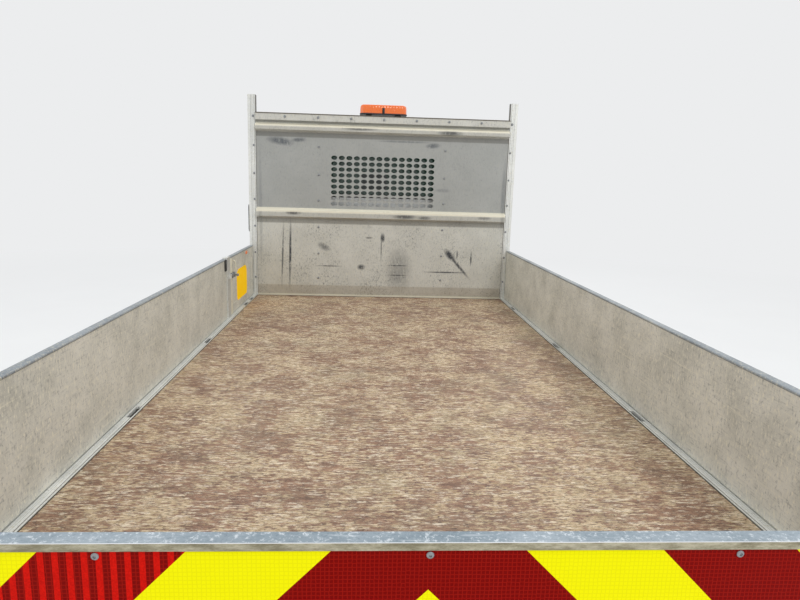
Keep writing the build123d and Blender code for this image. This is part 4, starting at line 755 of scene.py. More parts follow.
wall = ranged(tree, cells, 0.02, 0.16, bottom=1.0, top=0.0)
# painted glints: bright, sparkling red bars on the left half only
bars = worked(tree, "FRACT", worked(tree, "MULTIPLY", apart, 1000 / GLINT_BAR_PITCH_MM))
bar = worked(tree, "LESS_THAN", bars, 0.45)
on_left = worked(tree, "LESS_THAN", apart, LEFT_GLINT_BARS_END)
bar = worked(tree, "MULTIPLY", bar, on_left)
glitter = noise(tree, place, 3, 2.0)
red = mixed(tree, wall, "#7C0300", "#9C1408")
glinting_red = mixed(tree, glitter, "#A80300", "#EC1C0C")
red = mixed(tree, bar, red, glinting_red)
yellow = mixed(tree, wall, "#FAF400", "#F0E900")
tone = mixed(tree, is_yellow, red, yellow)
connect(tree, shader, Base_Color=tone)
finish_nodes(chevron_film, "chevron_board")
print("bands of", BAND_WIDTH, "m")

# %% [markdown]
# ## Cab, chassis and wheel finishes
# The cab is enamelled pressed steel, its trim is grained black plastic, and the chassis is dipped in dull black
# paint that road dust has dried on. They differ mostly in sheen, grain and dust, so each has its own recipe.

# %% Enamel, plastic, glass, rubber and steel
cab_enamel, tree, shader, place = begin(
    "white_cab_enamel", "#E9EAE8", 0.22, Coat_Weight=0.6, Coat_Roughness=0.06)
height = coordinate(tree, place, "Z")
film = noise(tree, place, 240, 5.0, 0.65)
low = ranged(tree, height, 1.15, 0.45, top=0.55)
dusty = worked(tree, "MULTIPLY", low, film)
clean = mixed(tree, film, "#E4E5E3", "#EEEFED")
tone = mixed(tree, dusty, clean, "#A99F8E")
dull = ranged(tree, dusty, high=0.4, bottom=0.18, top=0.5)
peel = noise(tree, place, 6, 1.0)
orange_peel = bumped(tree, peel, 0.05, 0.0004)
connect(tree, shader, Base_Color=tone, Roughness=dull, Normal=orange_peel)


def grained(name, colour, worn, roughness, grain_mm, dust="#7A7061", dust_share=0.35, relief=0.25,
            metallic=0.0):
    """Moulded plastic or paint: a fine grain in the relief, two close tones in clouds, and dust that settles on
    what faces up."""
    material, tree, shader, place = begin(name, colour, roughness, metallic)
    clouds = noise(tree, place, 120, 4.0)
    tone = mixed(tree, clouds, colour, worn)
    facing = coordinate(tree, add(tree, "TexCoord", {}, NORMAL), "Z")
    upward = ranged(tree, facing, 0.2, 1.0, top=dust_share)
    settled = worked(tree, "MULTIPLY", upward, clouds)
    tone = mixed(tree, settled, tone, dust)
    grain = noise(tree, place, grain_mm, 2.0)
    raised = bumped(tree, grain, relief, 0.0005)
    varied = ranged(tree, clouds, bottom=roughness - 0.06, top=roughness + 0.1)
    connect(tree, shader, Base_Color=tone, Roughness=varied, Normal=raised)
    return material


black_trim = grained("grained_black_polypropylene", "#1C1D1F", "#2A2B2D", 0.55, 2.5)
dash_trim = grained("grained_dashboard_abs", "#26272A", "#2E2F33", 0.6, 1.8, dust_share=0.1)
chassis_black = grained("dusty_chassis_paint", "#141415", "#242322", 0.6, 8.0, dust_share=0.5)
bearer_paint = grained("grey_primed_bearer_steel", "#4A4C4E", "#5B5C5C", 0.6, 6.0)
cast_iron = grained("rough_cast_iron", "#38383A", "#4A4744", 0.75, 3.0, relief=0.6)
tyre_rubber = grained("dusty_tyre_rubber", "#19191A", "#282827", 0.8, 2.0, dust="#6B6458", dust_share=0.3)
black_rubber = grained("extruded_epdm_rubber", "#111112", "#1B1B1C", 0.7, 1.5, dust_share=0.15)
wheel_silver = grained(
    "silver_wheel_enamel", "#9A9C9E", "#A9AAAB", 0.38, 1.5, dust="#5A5148", dust_share=0.2, relief=0.1,
    metallic=0.75)
pipe_steel = grained("heat_stained_exhaust_steel", "#6E675E", "#4C443D", 0.5, 5.0, metallic=0.75)
zinc = grained("zinc_plated_steel", "#8E9194", "#A4A7A9", 0.38, 1.2, relief=0.1, metallic=0.75)

cab_glazing, tree, shader, place = begin(
    "green_tinted_toughened_glass", "#5F736A", 0.03, Transmission_Weight=0.96, IOR=1.5)
wiped = noise(tree, place, 180, 4.0)
connect(tree, shader, Roughness=ranged(tree, wiped, bottom=0.02, top=0.09))

finish_nodes(cab_enamel, "cab_shell", "door_left", "door_right", "bonnet", "front_wings")
finish_nodes(black_trim, "front_bumper", "grille", "mudguards", "fuel_tank", "mirror_left", "mirror_right")
finish_nodes(dash_trim, "dashboard", "seat_bases")
finish_nodes(chassis_black, "chassis_rails", "cross_members", "front_axle", "rear_axle", "underrun_bar",
             "knuckle_left", "knuckle_right")
finish_nodes(bearer_paint, "bed_bearers", "bed_runners")
finish_nodes(cast_iron, "engine_block", "propshaft")
finish_nodes(pipe_steel, "exhaust")
finish_nodes(cab_glazing, "cab_glass", "door_glass_left", "door_glass_right")
WHEELS = [(place, hand) for place in ("front", "rear") for hand in ("left", "right")]
finish_nodes(wheel_silver, *[f"rim_{place}_{hand}" for place, hand in WHEELS])
finish_nodes(tyre_rubber, *[f"tyre_{place}_{hand}" for place, hand in WHEELS])

# %% [markdown]
# ## Lenses
# Lamp lenses are clear or coloured acrylic over a bright reflector. Real lenses could be thin shells over
# mirrors. Here the lens body itself carries a fine prism pattern, which reads the same from a few metres.
# The pattern's bright crests are painted glints, and the amber lens has a faint painted glow.

# %% Amber, red and clear lenses
def lens_acrylic(name, colour, deep, pitch_mm, painted_glow=0.0):
    """Moulded acrylic: upright flutes at a pitch, painted glints on their crests, and a painted glow if one is given.
    """
    material, tree, shader, place = begin(
        name, colour, 0.12, Coat_Weight=0.8, Coat_Roughness=0.03, Emission_Color=linear(colour),
        Emission_Strength=painted_glow)
    flutes = waves(tree, place, pitch_mm, "X")
    rows = waves(tree, place, pitch_mm, "Z")
    prism_relief_and_glints = worked(tree, "MULTIPLY", flutes, rows)
    tone = mixed(tree, prism_relief_and_glints, deep, colour)
    moulded = bumped(tree, prism_relief_and_glints, 0.4, 0.001)
    connect(tree, shader, Base_Color=tone, Normal=moulded)
    return material


amber_lens = lens_acrylic("amber_acrylic_lens", "#FF8A1E", "#D8520A", 9.0, painted_glow=0.12)
red_lens = lens_acrylic("red_acrylic_lens", "#C8181A", "#7C0A0C", 8.0)
clear_lens = lens_acrylic("clear_acrylic_over_reflector", "#DDE2E6", "#8C9196", 14.0)
finish_nodes(amber_lens, "beacon")
finish_nodes(red_lens, "tail_lamps")
finish_nodes(clear_lens, "headlamps")

# %% [markdown]
# ## Where things are
# Every added piece takes its place from the frame, so that it sits on what carries it on the real truck. The
# numbers could be typed again here, but they would drift apart from the model, so boxes of nodes give them.

# %% Places on the frame
def span(node, axis):
    """How far a node reaches along an axis, lowest first."""
    low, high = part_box(node)
    number = "XYZ".index(axis)
    return low[number], high[number]


def centre(node):
    """The middle of a node's box."""
    low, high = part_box(node)
    return (np.array(low) + np.array(high)) / 2


SIDE_TOP = span("dropside_right", "Z")[1]
SIDE_FOOT = span("dropside_right", "Z")[0]
RAVE_OUT = 0.061
BED_HALF = span("floor_deck", "X")[1] + RAVE_OUT
PANEL_INSIDE = BED_HALF - 0.025
HEADBOARD_Y = span("floor_deck", "Y")[1]
BOARD_Y = span("chevron_board", "Y")[0]
HEADBOARD_TOP = span("headboard", "Z")[1]
print("bed", round(2 * BED_HALF, 3), "m wide, sides to", round(SIDE_TOP, 3), "m")

# %% [markdown]
# ## Headboard fixings
# The headboard's top band is bolted through to the cab guard, and its sheet is screwed to uprights behind it.
# Modelled as real heads they catch light and cast small shadows, where a painted dot would not.

# %% Headboard bolts and screws
BAND_Y = HEADBOARD_Y - 0.028
POST_FLANGE_Y = HEADBOARD_Y - 0.005
BAND_BOLT_UP = 1.396
BAND_BOLT_PITCH = 0.254
SCREW_COLUMNS = (-0.505, 0.489)
SCREWS_UP = (1.178, 0.965, 0.765, 0.555, 0.344, 0.145)
FLANGE_SCREW_X = 1.005


def bolt(radius, height):
    """A hexagon head on a washer, standing up from the origin towards the truck's rear."""
    washer = lathe(
        [(0.0, 1.55 * radius), (-0.22 * height, 1.55 * radius), (-0.3 * height, 1.4 * radius)], "Y", sides=20)
    head = lathe([(-0.3 * height, radius), (-0.88 * height, radius), (-height, 0.86 * radius)], "Y", sides=6)
    return joined(washer, head)


def dome_screw(radius, height):
    """A low domed head with a dark dimple in its crown, standing up towards the truck's rear."""
    return lathe([
        (0.0, radius), (-0.45 * height, 0.93 * radius), (-0.85 * height, 0.68 * radius),
        (-height, 0.38 * radius), (-0.55 * height, 0.24 * radius)], "Y", sides=16)


steps = np.arange(-3, 4) * BAND_BOLT_PITCH
band_bolts = copies(bolt(0.0062, 0.010), [(x, BAND_Y, DECK_TOP + BAND_BOLT_UP) for x in steps])
post_bolts = copies(bolt(0.0062, 0.010), [(x, POST_FLANGE_Y, DECK_TOP + BAND_BOLT_UP) for x in (-1.008, 1.008)])
put("headboard_bolts", joined(band_bolts, post_bolts), "truck", zinc)
screws = [(x, HEADBOARD_Y, DECK_TOP + up) for x in SCREW_COLUMNS for up in SCREWS_UP]
screws += [(side * FLANGE_SCREW_X, POST_FLANGE_Y, DECK_TOP + up) for side in (-1, 1) for up in SCREWS_UP]
# A thin dark-brown strip runs along the headboard's top edge.
brown_lip = grained("dark_brown_cap_strip", "#4B4338", "#5E5546", 0.7, 3.0)
lip = slab((BAND_Y - 0.001, HEADBOARD_TOP - 0.0035), (0.006, 0.006), 0.001, (-0.988, 0.988), "X", steps=3)
put("headboard_cap_strip", lip, "truck", brown_lip)
put("headboard_screws", copies(dome_screw(0.0085, 0.006), screws), "truck", zinc)
print(len(screws), "screws and", len(steps) + 2, "bolts")

# %% [markdown]
# ## Side rails in detail
# The rave is an aluminium extrusion with fine ribs beside its slots, so that boots grip it. Extruding four thin
# strips along the bed gives the same shadow lines. Rope hooks hang below it, one between every two bearers.

# %% Rave ribs, rope hooks and side marker lamps
RAVE_TOP = SIDE_FOOT - 0.006
RIB_PLACES = (0.9925, 0.9962, 1.0196, 1.0232)
RIB_SIZE = (0.0018, 0.0022)
REAR_POST_FRONT = BOARD_Y + 0.060
ribs = [
    slab((x, RAVE_TOP), RIB_SIZE, 0.0005, (REAR_POST_FRONT, POST_FLANGE_Y), "Y", steps=3) for x in RIB_PLACES]
put("rave_ribs", pair(joined(*ribs)), "truck", rail_aluminium)

HOOK_SECTION = circle((0, 0), 0.0045, 10)
HOOK_PATH = curve_through(
    [
        (-0.004, 0.0, 0.060), (-0.003, 0.0, 0.030), (-0.001, 0.0, 0.010), (0.003, 0.0, 0.003),
        (0.007, 0.0, 0.010), (0.0075, 0.0, 0.022)])
HOOK_PLACES = np.linspace(REAR_POST_FRONT + 0.22, HEADBOARD_Y - 0.30, 9)
hook = swept(HOOK_PATH, HOOK_SECTION, up=(0, 1, 0))
hooks = copies(hook, [(BED_HALF, y, 0.800) for y in HOOK_PLACES])
put("rope_hooks", pair(hooks), "truck", zinc, sharp=60)

MARKER_PLACES = (-2.30, -0.75, 0.80)
marker = slab((0.0, 0.0), (0.100, 0.036), 0.010, (0.0, 0.010), "X", 0.003)
marker_base = slab((0.0, 0.0), (0.116, 0.046), 0.012, (-0.002, 0.004), "X", 0.001)
markers = [(BED_HALF, y, 0.855) for y in MARKER_PLACES]
put("side_marker_lenses", pair(copies(marker, markers)), "truck", amber_lens)
put("side_marker_bases", pair(copies(marker_base, markers)), "truck", black_trim)
print(2 * len(HOOK_PLACES), "rope hooks,", 2 * len(markers), "side markers")

# %% [markdown]
# ## Panel rails and latches
# A dropside is closed by a rail along its top and by a toggle latch at each end, whose claw draws the panel to
# the post. The parts are pressings and bent bar, so each is a rounded plate or a swept bar, and one latch made
# at the origin is copied to every corner.

# %% Top rails of the panels
RAIL_SIZE = (0.030, 0.010)
RAIL_OVER = 0.0005
rail_top = SIDE_TOP + RAIL_OVER
rail_section = rounded((BED_HALF - 0.0125, rail_top - RAIL_SIZE[1] / 2), RAIL_SIZE, 0.004)
# The top rails are a darker blue-grey than the panels.
panel_metal = weathered(
    "darker_grey_top_rail", "#8B9298", "#A6ADB2", "#565D63", LENGTHWISE, DECK_TOP, metallic=0.35)
for node in ("dropside_right", "dropside_left", "access_gate"):
    rear, front = span(node, "Y")
    rail = plate(rail_section, (rear, min(front, HEADBOARD_Y - 0.011)), "Y", 0.0015)
    rail = rail if node == "dropside_right" else mirrored(rail)
    put(f"{node}_top_rail", rail, node, panel_metal)
print("top rails", RAIL_SIZE, "m")

# %% Toggle latches
LATCH_UP = 0.270
LATCH_REACH = 0.052
LATCH_HOUSING = (0.058, 0.120)


def toggle_latch():
    """A latch at the origin that stands out along X and reaches along Y: a housing, a lever, a pivot and a claw."""
    housing = slab((0.0, 0.0), LATCH_HOUSING, 0.010, (0.0, 0.005), "X", 0.0015)
    lever_side = [
        (0.005, -0.050), (0.010, -0.052), (0.013, -0.020), (0.016, 0.030), (0.016, 0.050), (0.011, 0.050),
        (0.006, 0.000)]
    lever = plate([(x, z) for x, z in lever_side], (-0.011, 0.011), "Y", 0.001)
    pivot = lathe([(-0.020, 0.0055), (0.020, 0.0055)], "Y", (0.0095, 0.0, 0.012), 12)
    bar = [
        (0.011, y, z)
        for y, z in (
            (0.000, 0.022), (0.030, 0.022), (0.050, 0.016), (0.050, -0.002), (0.030, -0.006), (0.000, -0.006))]
    claw = bent(bar, 4, circle((0, 0), 0.0035, 8), up=(1, 0, 0))
    return joined(housing, lever, pivot, claw)


latch = toggle_latch()
facing_rear = spun(latch, "X", 180, (0, 0, 0))


def latches_at(places):
    """Latches along a side panel: each place is a distance along the bed and the way its claw reaches."""
    turned = {1: latch, -1: facing_rear}
    return joined(*[copies(turned[reach], [(BED_HALF, y, DECK_TOP + LATCH_UP)]) for y, reach in places])


rear_latch = span("dropside_right", "Y")[0] + LATCH_REACH
put("latches_right", latches_at([(rear_latch, -1), (HEADBOARD_Y - 0.011 - LATCH_REACH, 1)]),
    "dropside_right", zinc, sharp=50)
put("latches_left", mirrored(latches_at([(rear_latch, -1), (span("dropside_left", "Y")[1] - LATCH_REACH, 1)])),
    "dropside_left", zinc, sharp=50)
TAIL_HALF = span("chevron_board", "X")[1]
across_tail = spun(latch, "Z", -90, (0, 0, 0))
tail_latch = copies(across_tail, [(TAIL_HALF - LATCH_REACH, BOARD_Y, DECK_TOP + LATCH_UP)])
put("latches_tailboard", pair(tail_latch), "tailboard", zinc, sharp=50)
print("six toggle latches")

# %% [markdown]
# ## The access gate's fittings
# The short panel by the headboard is a gate on its own hinges. It carries a slide bolt, a blank yellow label and
# an orange reflector, and the long panel beside it ends in a dark moulded cap. They are thin pressings and
# mouldings, so rounded plates of their true thickness serve.

# %% Slide bolt, label, reflector and end cap
BOLT_Y = (HEADBOARD_Y - 0.842, HEADBOARD_Y - 0.750)
BOLT_UP = 0.276
BOLT_X = -PANEL_INSIDE + 0.012
slide = lathe([(BOLT_Y[0], 0.007), (BOLT_Y[1], 0.007)], "Y", (BOLT_X, 0.0, DECK_TOP + BOLT_UP), 16)
knob = lathe([(0.0, 0.005), (0.022, 0.005), (0.026, 0.009), (0.034, 0.009), (0.037, 0.006)], "X",
             (BOLT_X, BOLT_Y[1] - 0.030, DECK_TOP + BOLT_UP), 14)
guides = [
    slab((y, DECK_TOP + BOLT_UP), (0.014, 0.034), 0.004, (-PANEL_INSIDE - 0.001, BOLT_X + 0.009), "X", 0.001)
    for y in (BOLT_Y[0] + 0.020, BOLT_Y[1] - 0.010)]
put("gate_slide_bolt", joined(slide, knob, *guides), "access_gate", zinc, sharp=50)

LABEL_Y, LABEL_UP = (-0.609, -0.258), (0.047, 0.282)
label_centre = (HEADBOARD_Y + sum(LABEL_Y) / 2, DECK_TOP + sum(LABEL_UP) / 2)
label_size = (LABEL_Y[1] - LABEL_Y[0], LABEL_UP[1] - LABEL_UP[0])
# The label is fluorescent yellow vinyl. Its glow is painted light, which keeps it as bright as a label in sun.
label_vinyl, tree, shader, place = begin(
    "yellow_vinyl_label_with_painted_glow", "#FFCC10", 0.5, Specular_IOR_Level=0.04, Emission_Color=linear("#FFB800"),
    Emission_Strength=0.22)
faded = noise(tree, place, 60, 5.0)
connect(tree, shader, Base_Color=mixed(tree, faded, "#FFC800", "#FFDC10"))
recess_x = -PANEL_INSIDE - 0.003
label = slab(label_centre, label_size, 0.060, (recess_x - 0.0002, recess_x + 0.0008), "X")
put("gate_label", label, "access_gate", label_vinyl)
reflector_place = (HEADBOARD_Y - 0.271, DECK_TOP + 0.372)
reflector = slab(
    reflector_place, (0.062, 0.022), 0.006, (-PANEL_INSIDE - 0.001, -PANEL_INSIDE + 0.005), "X", 0.0015)
put("gate_reflector", reflector, "access_gate", amber_lens)
CAP_WIDE, CAP_HIGH = 0.050, 0.075
cap_centre = (span("dropside_left", "Y")[1] - CAP_WIDE / 2, SIDE_TOP - CAP_HIGH / 2 - 0.001)
end_cap = slab(
    cap_centre, (CAP_WIDE, CAP_HIGH), 0.006, (-PANEL_INSIDE - 0.001, -PANEL_INSIDE + 0.005), "X", 0.0015)
put("dropside_left_end_cap", end_cap, "dropside_left", black_trim)
print("slide bolt, label, reflector and end cap")

# %% Frame bars and pull handle of the gate
GATE_REAR = span("access_gate", "Y")[0]
BAR_WIDE, BAR_PROUD = 0.030, 0.004
bars_high = SIDE_TOP - SIDE_FOOT - 0.024
bars = [
    slab(
        (GATE_REAR + away, (SIDE_FOOT + SIDE_TOP) / 2), (BAR_WIDE, bars_high), 0.003,
        (-PANEL_INSIDE - 0.001, -PANEL_INSIDE + BAR_PROUD), "X", 0.001) for away in (0.018, 0.056)]
pull = bent(
    [(0.0, 0.0, -0.055), (0.016, 0.0, -0.045), (0.019, 0.0, 0.0), (0.016, 0.0, 0.045), (0.0, 0.0, 0.055)], 5,
    circle((0, 0), 0.0045, 10), up=(0, 1, 0))
pull = copies(pull, [(-PANEL_INSIDE + 0.001, GATE_REAR + 0.100, SIDE_TOP - 0.085)])
cream_bar = weathered(
    "cream_powder_coated_bar", "#DAD4BC", "#EEEADA", "#8C8672", UPRIGHT, DECK_TOP - 0.02, metallic=0.0)
put("gate_frame_bars", joined(*bars), "access_gate", cream_bar)
put("gate_pull_handle", pull, "access_gate", cream_bar, sharp=60)
print("gate bars", BAR_WIDE, "m wide")

# %% Rivets of the chevron board
RIVET_X = (-0.480, -0.007, 0.456)
RIVETS_UP = (0.380, 0.200, 0.028)
rivet = lathe(
    [(0.0, 0.0056), (-0.0012, 0.0056), (-0.0024, 0.0042), (-0.0026, 0.0024), (-0.0010, 0.0020)], "Y", sides=16)
rivets = [(x, BOARD_Y, DECK_TOP + up) for x in (*RIVET_X, -0.955, 0.955) for up in RIVETS_UP]
put("chevron_rivets", copies(rivet, rivets), "tailboard", zinc)
print(len(rivets), "rivets")

# %% [markdown]
# ## Tyres
# A light truck's tyre is moulded rubber: smooth sidewalls with raised rings, and five rows of tread blocks over
# the crown. A texture could fake the blocks, but their edges show against the light. One closed profile is spun
# for the casing, and one block of every row is copied round the axle.

# %% Tyres with tread blocks
TYRE_R = (span("tyre_rear_right", "Z")[1] - span("tyre_rear_right", "Z")[0]) / 2
TREAD_DEPTH = 0.010
SECTORS = 56
SIDEWALL = [  # across from the wheel's plane, radius: bead, sidewall, raised rings, shoulder, tread base
    (0.094, 0.2036), (0.1035, 0.2080), (0.1045, 0.2160), (0.1065, 0.2180), (0.1105, 0.2400), (0.1123, 0.2620),
    (0.1138, 0.2640), (0.1138, 0.2680), (0.1124, 0.2700), (0.1120, 0.2900), (0.1100, 0.3060), (0.1112, 0.3080),
    (0.1106, 0.3120), (0.1086, 0.3140), (0.1040, 0.3300), (0.0985, 0.3400), (0.0900, 0.3465), (0.0500, 0.3490),
]
BLOCK_ROWS = [  # lowest and highest across, lean of the ends, start and length as shares of a sector
    (-0.0960, -0.0620, 0.20, 0.00, 0.84),
    (-0.0540, -0.0220, -0.30, 0.45, 0.86),
    (-0.0150, 0.0150, 0.35, 0.10, 0.88),
    (0.0220, 0.0540, -0.30, 0.60, 0.86),
    (0.0620, 0.0960, 0.20, 0.15, 0.84),
]
CROWN = 0.40


def crown_radius(across):
    """The tread's radius: the tyre's own, less the crown times the square of the distance across."""
    return TYRE_R - CROWN * across**2


def tread_block(low, high, lean, start, length):
    """One block: three rings of four corners. A corner at angle t and radius r lies at r cos t up and r sin t
    along, and the lean turns the outer end of the block further round."""
    sector = 2 * math.pi / SECTORS
    across = np.array([low, high, high, low])
    share = start + np.array([0, lean, lean + length, length])
    middle_x, middle_share = across.mean(), share.mean()
    rings = []
    for sink, draw in ((TREAD_DEPTH + 0.004, 0.0), (0.0015, 0.0), (0.0, 0.0015)):
        x = across + np.sign(middle_x - across) * draw
        angle = sector * share + np.sign(middle_share - share) * draw / TYRE_R
        radius = crown_radius(x) - sink
        rings.append(np.stack([x, radius * np.sin(angle), radius * np.cos(angle)], 1))
    return skinned(rings)


profile = SIDEWALL + [(-across, radius) for across, radius in reversed(SIDEWALL)]
casing = lathe(profile, "X", sides=96, closed=True)
tyre = joined(casing, *[ringed(tread_block(*row), "X", SECTORS) for row in BLOCK_ROWS])
WHEEL_X = centre("tyre_front_right")[0]
AXLE_Z = centre("tyre_front_right")[2]


def on_wheels(name, shape, material, stands_for=None, sharp=35.0):
    """A shape made at a wheel's middle, put on all four wheels. Its outer side faces X, and the left is mirrored."""
    for place, hand in WHEELS:
        moved = copies(shape, [(WHEEL_X, centre(f"tyre_{place}_right")[1], AXLE_Z)])
        moved = moved if hand == "right" else mirrored(moved)
        old = [f"{stands_for}_{place}_{hand}"] if stands_for else ()
        put(f"{name}_{place}_{hand}", moved, f"wheel_{place}_{hand}", material, old, sharp)


on_wheels("treaded_tyre", tyre, tyre_rubber, "tyre")
print("blocks a tyre:", SECTORS * len(BLOCK_ROWS))

# %% [markdown]
# ## Wheel fittings
# Pressed steel wheels have a rolled rim flange, six nuts on flat washers, a dust cap over the hub and a valve.
# All of them are turned or hexagonal, so lathe profiles make them.

# %% Rim flanges, nuts, caps and valves
RIM_R = 0.203
DISC_OUT, HUB_OUT = 0.030, 0.055
FLANGE = [
    (0.099, RIM_R - 0.009), (0.106, RIM_R - 0.005), (0.1095, RIM_R + 0.001), (0.1095, RIM_R + 0.007),
    (0.1070, RIM_R + 0.0095), (0.1050, RIM_R + 0.0070), (0.1045, RIM_R + 0.0010), (0.099, RIM_R - 0.001)]
HAND_HOLE_R, HAND_HOLE_PITCH = 0.022, 0.142
flange = lathe(FLANGE, "X", sides=64, closed=True)
lip = lathe(
    [
        (0.0, HAND_HOLE_R), (0.004, HAND_HOLE_R + 0.002), (0.004, HAND_HOLE_R + 0.006),
        (0.0, HAND_HOLE_R + 0.008)], "X", (DISC_OUT, HAND_HOLE_PITCH, 0.0), 24, closed=True)
on_wheels("rim_flange", joined(flange, ringed(lip, "X", 8)), wheel_silver)

NUTS, NUT_CIRCLE, NUT_R = 6, 0.0975, 0.0155
washer = lathe(
    [(DISC_OUT - 0.001, 0.0215), (DISC_OUT + 0.003, 0.0215), (DISC_OUT + 0.004, 0.0195)], "X",
    (0, 0, NUT_CIRCLE), 20)
nut = lathe([(DISC_OUT + 0.004, NUT_R), (0.050, NUT_R), (0.053, 0.0125)], "X", (0, 0, NUT_CIRCLE), 6)
stud = lathe([(0.050, 0.0085), (0.060, 0.0085), (0.062, 0.0065)], "X", (0, 0, NUT_CIRCLE), 12)
on_wheels("wheel_nuts", ringed(joined(washer, nut, stud), "X", NUTS), zinc)

cap = lathe([
    (HUB_OUT - 0.001, 0.052), (HUB_OUT + 0.006, 0.052), (HUB_OUT + 0.014, 0.048), (HUB_OUT + 0.030, 0.045),
    (HUB_OUT + 0.038, 0.038), (HUB_OUT + 0.041, 0.022), (HUB_OUT + 0.0415, 0.004)], "X", sides=32)
valve = lathe(
    [(DISC_OUT, 0.0055), (0.062, 0.0045), (0.064, 0.0052), (0.072, 0.0052), (0.074, 0.0040)], "X",
    (0, 0, 0.172), 12)
on_wheels("hub_cap_and_valve", joined(cap, valve), black_trim)
print("nuts a wheel:", NUTS)

# %% [markdown]
# ## The amber light bar
# The beacon is a black base with a fluted amber lens over it and two reflectors inside. The lens could be a plain
# block, but its upright flutes are what makes it read as a warning lamp. Its outline is a rounded rectangle
# whose distance from the middle waves a little, and the height rounds over at the top.

# %% Light bar: lens, base, clamp and feet
low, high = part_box("beacon")
BAR_MIDDLE = ((low.x + high.x) / 2, (low.y + high.y) / 2)
BAR_SIZE = (high.x - low.x, high.y - low.y)
BAR_TOP = high.z
BAR_FOOT = BAR_TOP - 0.078
BASE_H = 0.008
FLUTES, FLUTE_DEPTH = 40, 0.0016


def fluted(outline, count, depth):
    """An outline whose points move out from its middle by the depth times a cosine, count times round."""
    steps = np.linalg.norm(np.roll(outline, -1, 0) - outline, axis=1)
    share = np.concatenate([[0], np.cumsum(steps)[:-1]]) / steps.sum()
    away = outline - outline.mean(0)
    away /= np.linalg.norm(away, axis=1, keepdims=True)
    return outline + away * (depth * np.cos(2 * math.pi * count * share))[:, None]


def resampled(outline, count):
    """Points at even steps along a closed outline."""
    ring = np.concatenate([outline, outline[:1]])
    length = np.concatenate([[0], np.cumsum(np.linalg.norm(np.diff(ring, axis=0), axis=1))])
    places = np.linspace(0, length[-1], count, endpoint=False)
    return np.stack([np.interp(places, length, ring[:, 0]), np.interp(places, length, ring[:, 1])], 1)


bar_outline = resampled(rounded(BAR_MIDDLE, (BAR_SIZE[0] - 0.008, BAR_SIZE[1] - 0.008), 0.046, 12), FLUTES * 6)
levels = [
    (BAR_FOOT + BASE_H, 0.000), (BAR_FOOT + 0.045, 0.001), (BAR_TOP - 0.016, 0.003), (BAR_TOP - 0.006, 0.008),
    (BAR_TOP - 0.0015, 0.018), (BAR_TOP, 0.032)]
rings = [along("Z", level, *fluted(inset(bar_outline, draw), FLUTES, FLUTE_DEPTH).T) for level, draw in levels]
put("light_bar_lens", skinned(rings), "truck", amber_lens, ("beacon",), sharp=60)
base = slab(BAR_MIDDLE, BAR_SIZE, 0.048, (BAR_FOOT - 0.002, BAR_FOOT + BASE_H), "Z", 0.003, steps=10)
clamp = slab(BAR_MIDDLE, (0.020, BAR_SIZE[1] + 0.004), 0.006, (BAR_FOOT, BAR_FOOT + 0.050), "Z", 0.002)
ROOF_Z = span("cab_shell", "Z")[1]
foot = slab(BAR_MIDDLE, (0.050, 0.100), 0.012, (ROOF_Z - 0.020, BAR_FOOT), "Z", 0.002)
feet = copies(foot, [(x, 0.0, 0.0) for x in (-0.120, 0.120)])
put("light_bar_base", joined(base, clamp, feet), "truck", black_trim)
print("light bar", [round(value, 3) for value in BAR_SIZE], "m")

# %% [markdown]
# ## Seats
# The bench and the driver's seat have foam cushions under woven cloth: crowned pads whose sides pull in between
# the corners, with a piped seam round the edge. A bevelled box would look like a plank. Each pad is a shape a
# little smaller than the real one, remeshed evenly, swelled by cloth simulation under pressure, and smoothed.

# %% Woven seat cloth
SEAT_WEAVE_MM = 6.0  # a real weave of 2.4 mm is too fine to show, so it is drawn coarser
seat_cloth, tree, shader, place = begin(
    "woven_seat_cloth", "#33363B", 0.9, Sheen_Weight=0.25, Sheen_Roughness=0.5)
warp = waves(tree, place, SEAT_WEAVE_MM, "X", 0.6)
weft = waves(tree, place, SEAT_WEAVE_MM, "DIAGONAL", 0.6)
weave = worked(tree, "MULTIPLY", warp, weft)
rubbed = noise(tree, place, 90, 5.0, 0.65)
thread = mixed(tree, weave, "#24262A", "#4A4E55")
worn_cloth = mixed(tree, rubbed, thread, "#3C4047")
woven = bumped(tree, weave, 0.5, 0.0006)
connect(tree, shader, Base_Color=worn_cloth, Normal=woven)

# %% Padded by cloth simulation
VOXEL = 0.012
PRESSURE = 4.0
SWELL_CAP = 0.022
FRAMES = 20


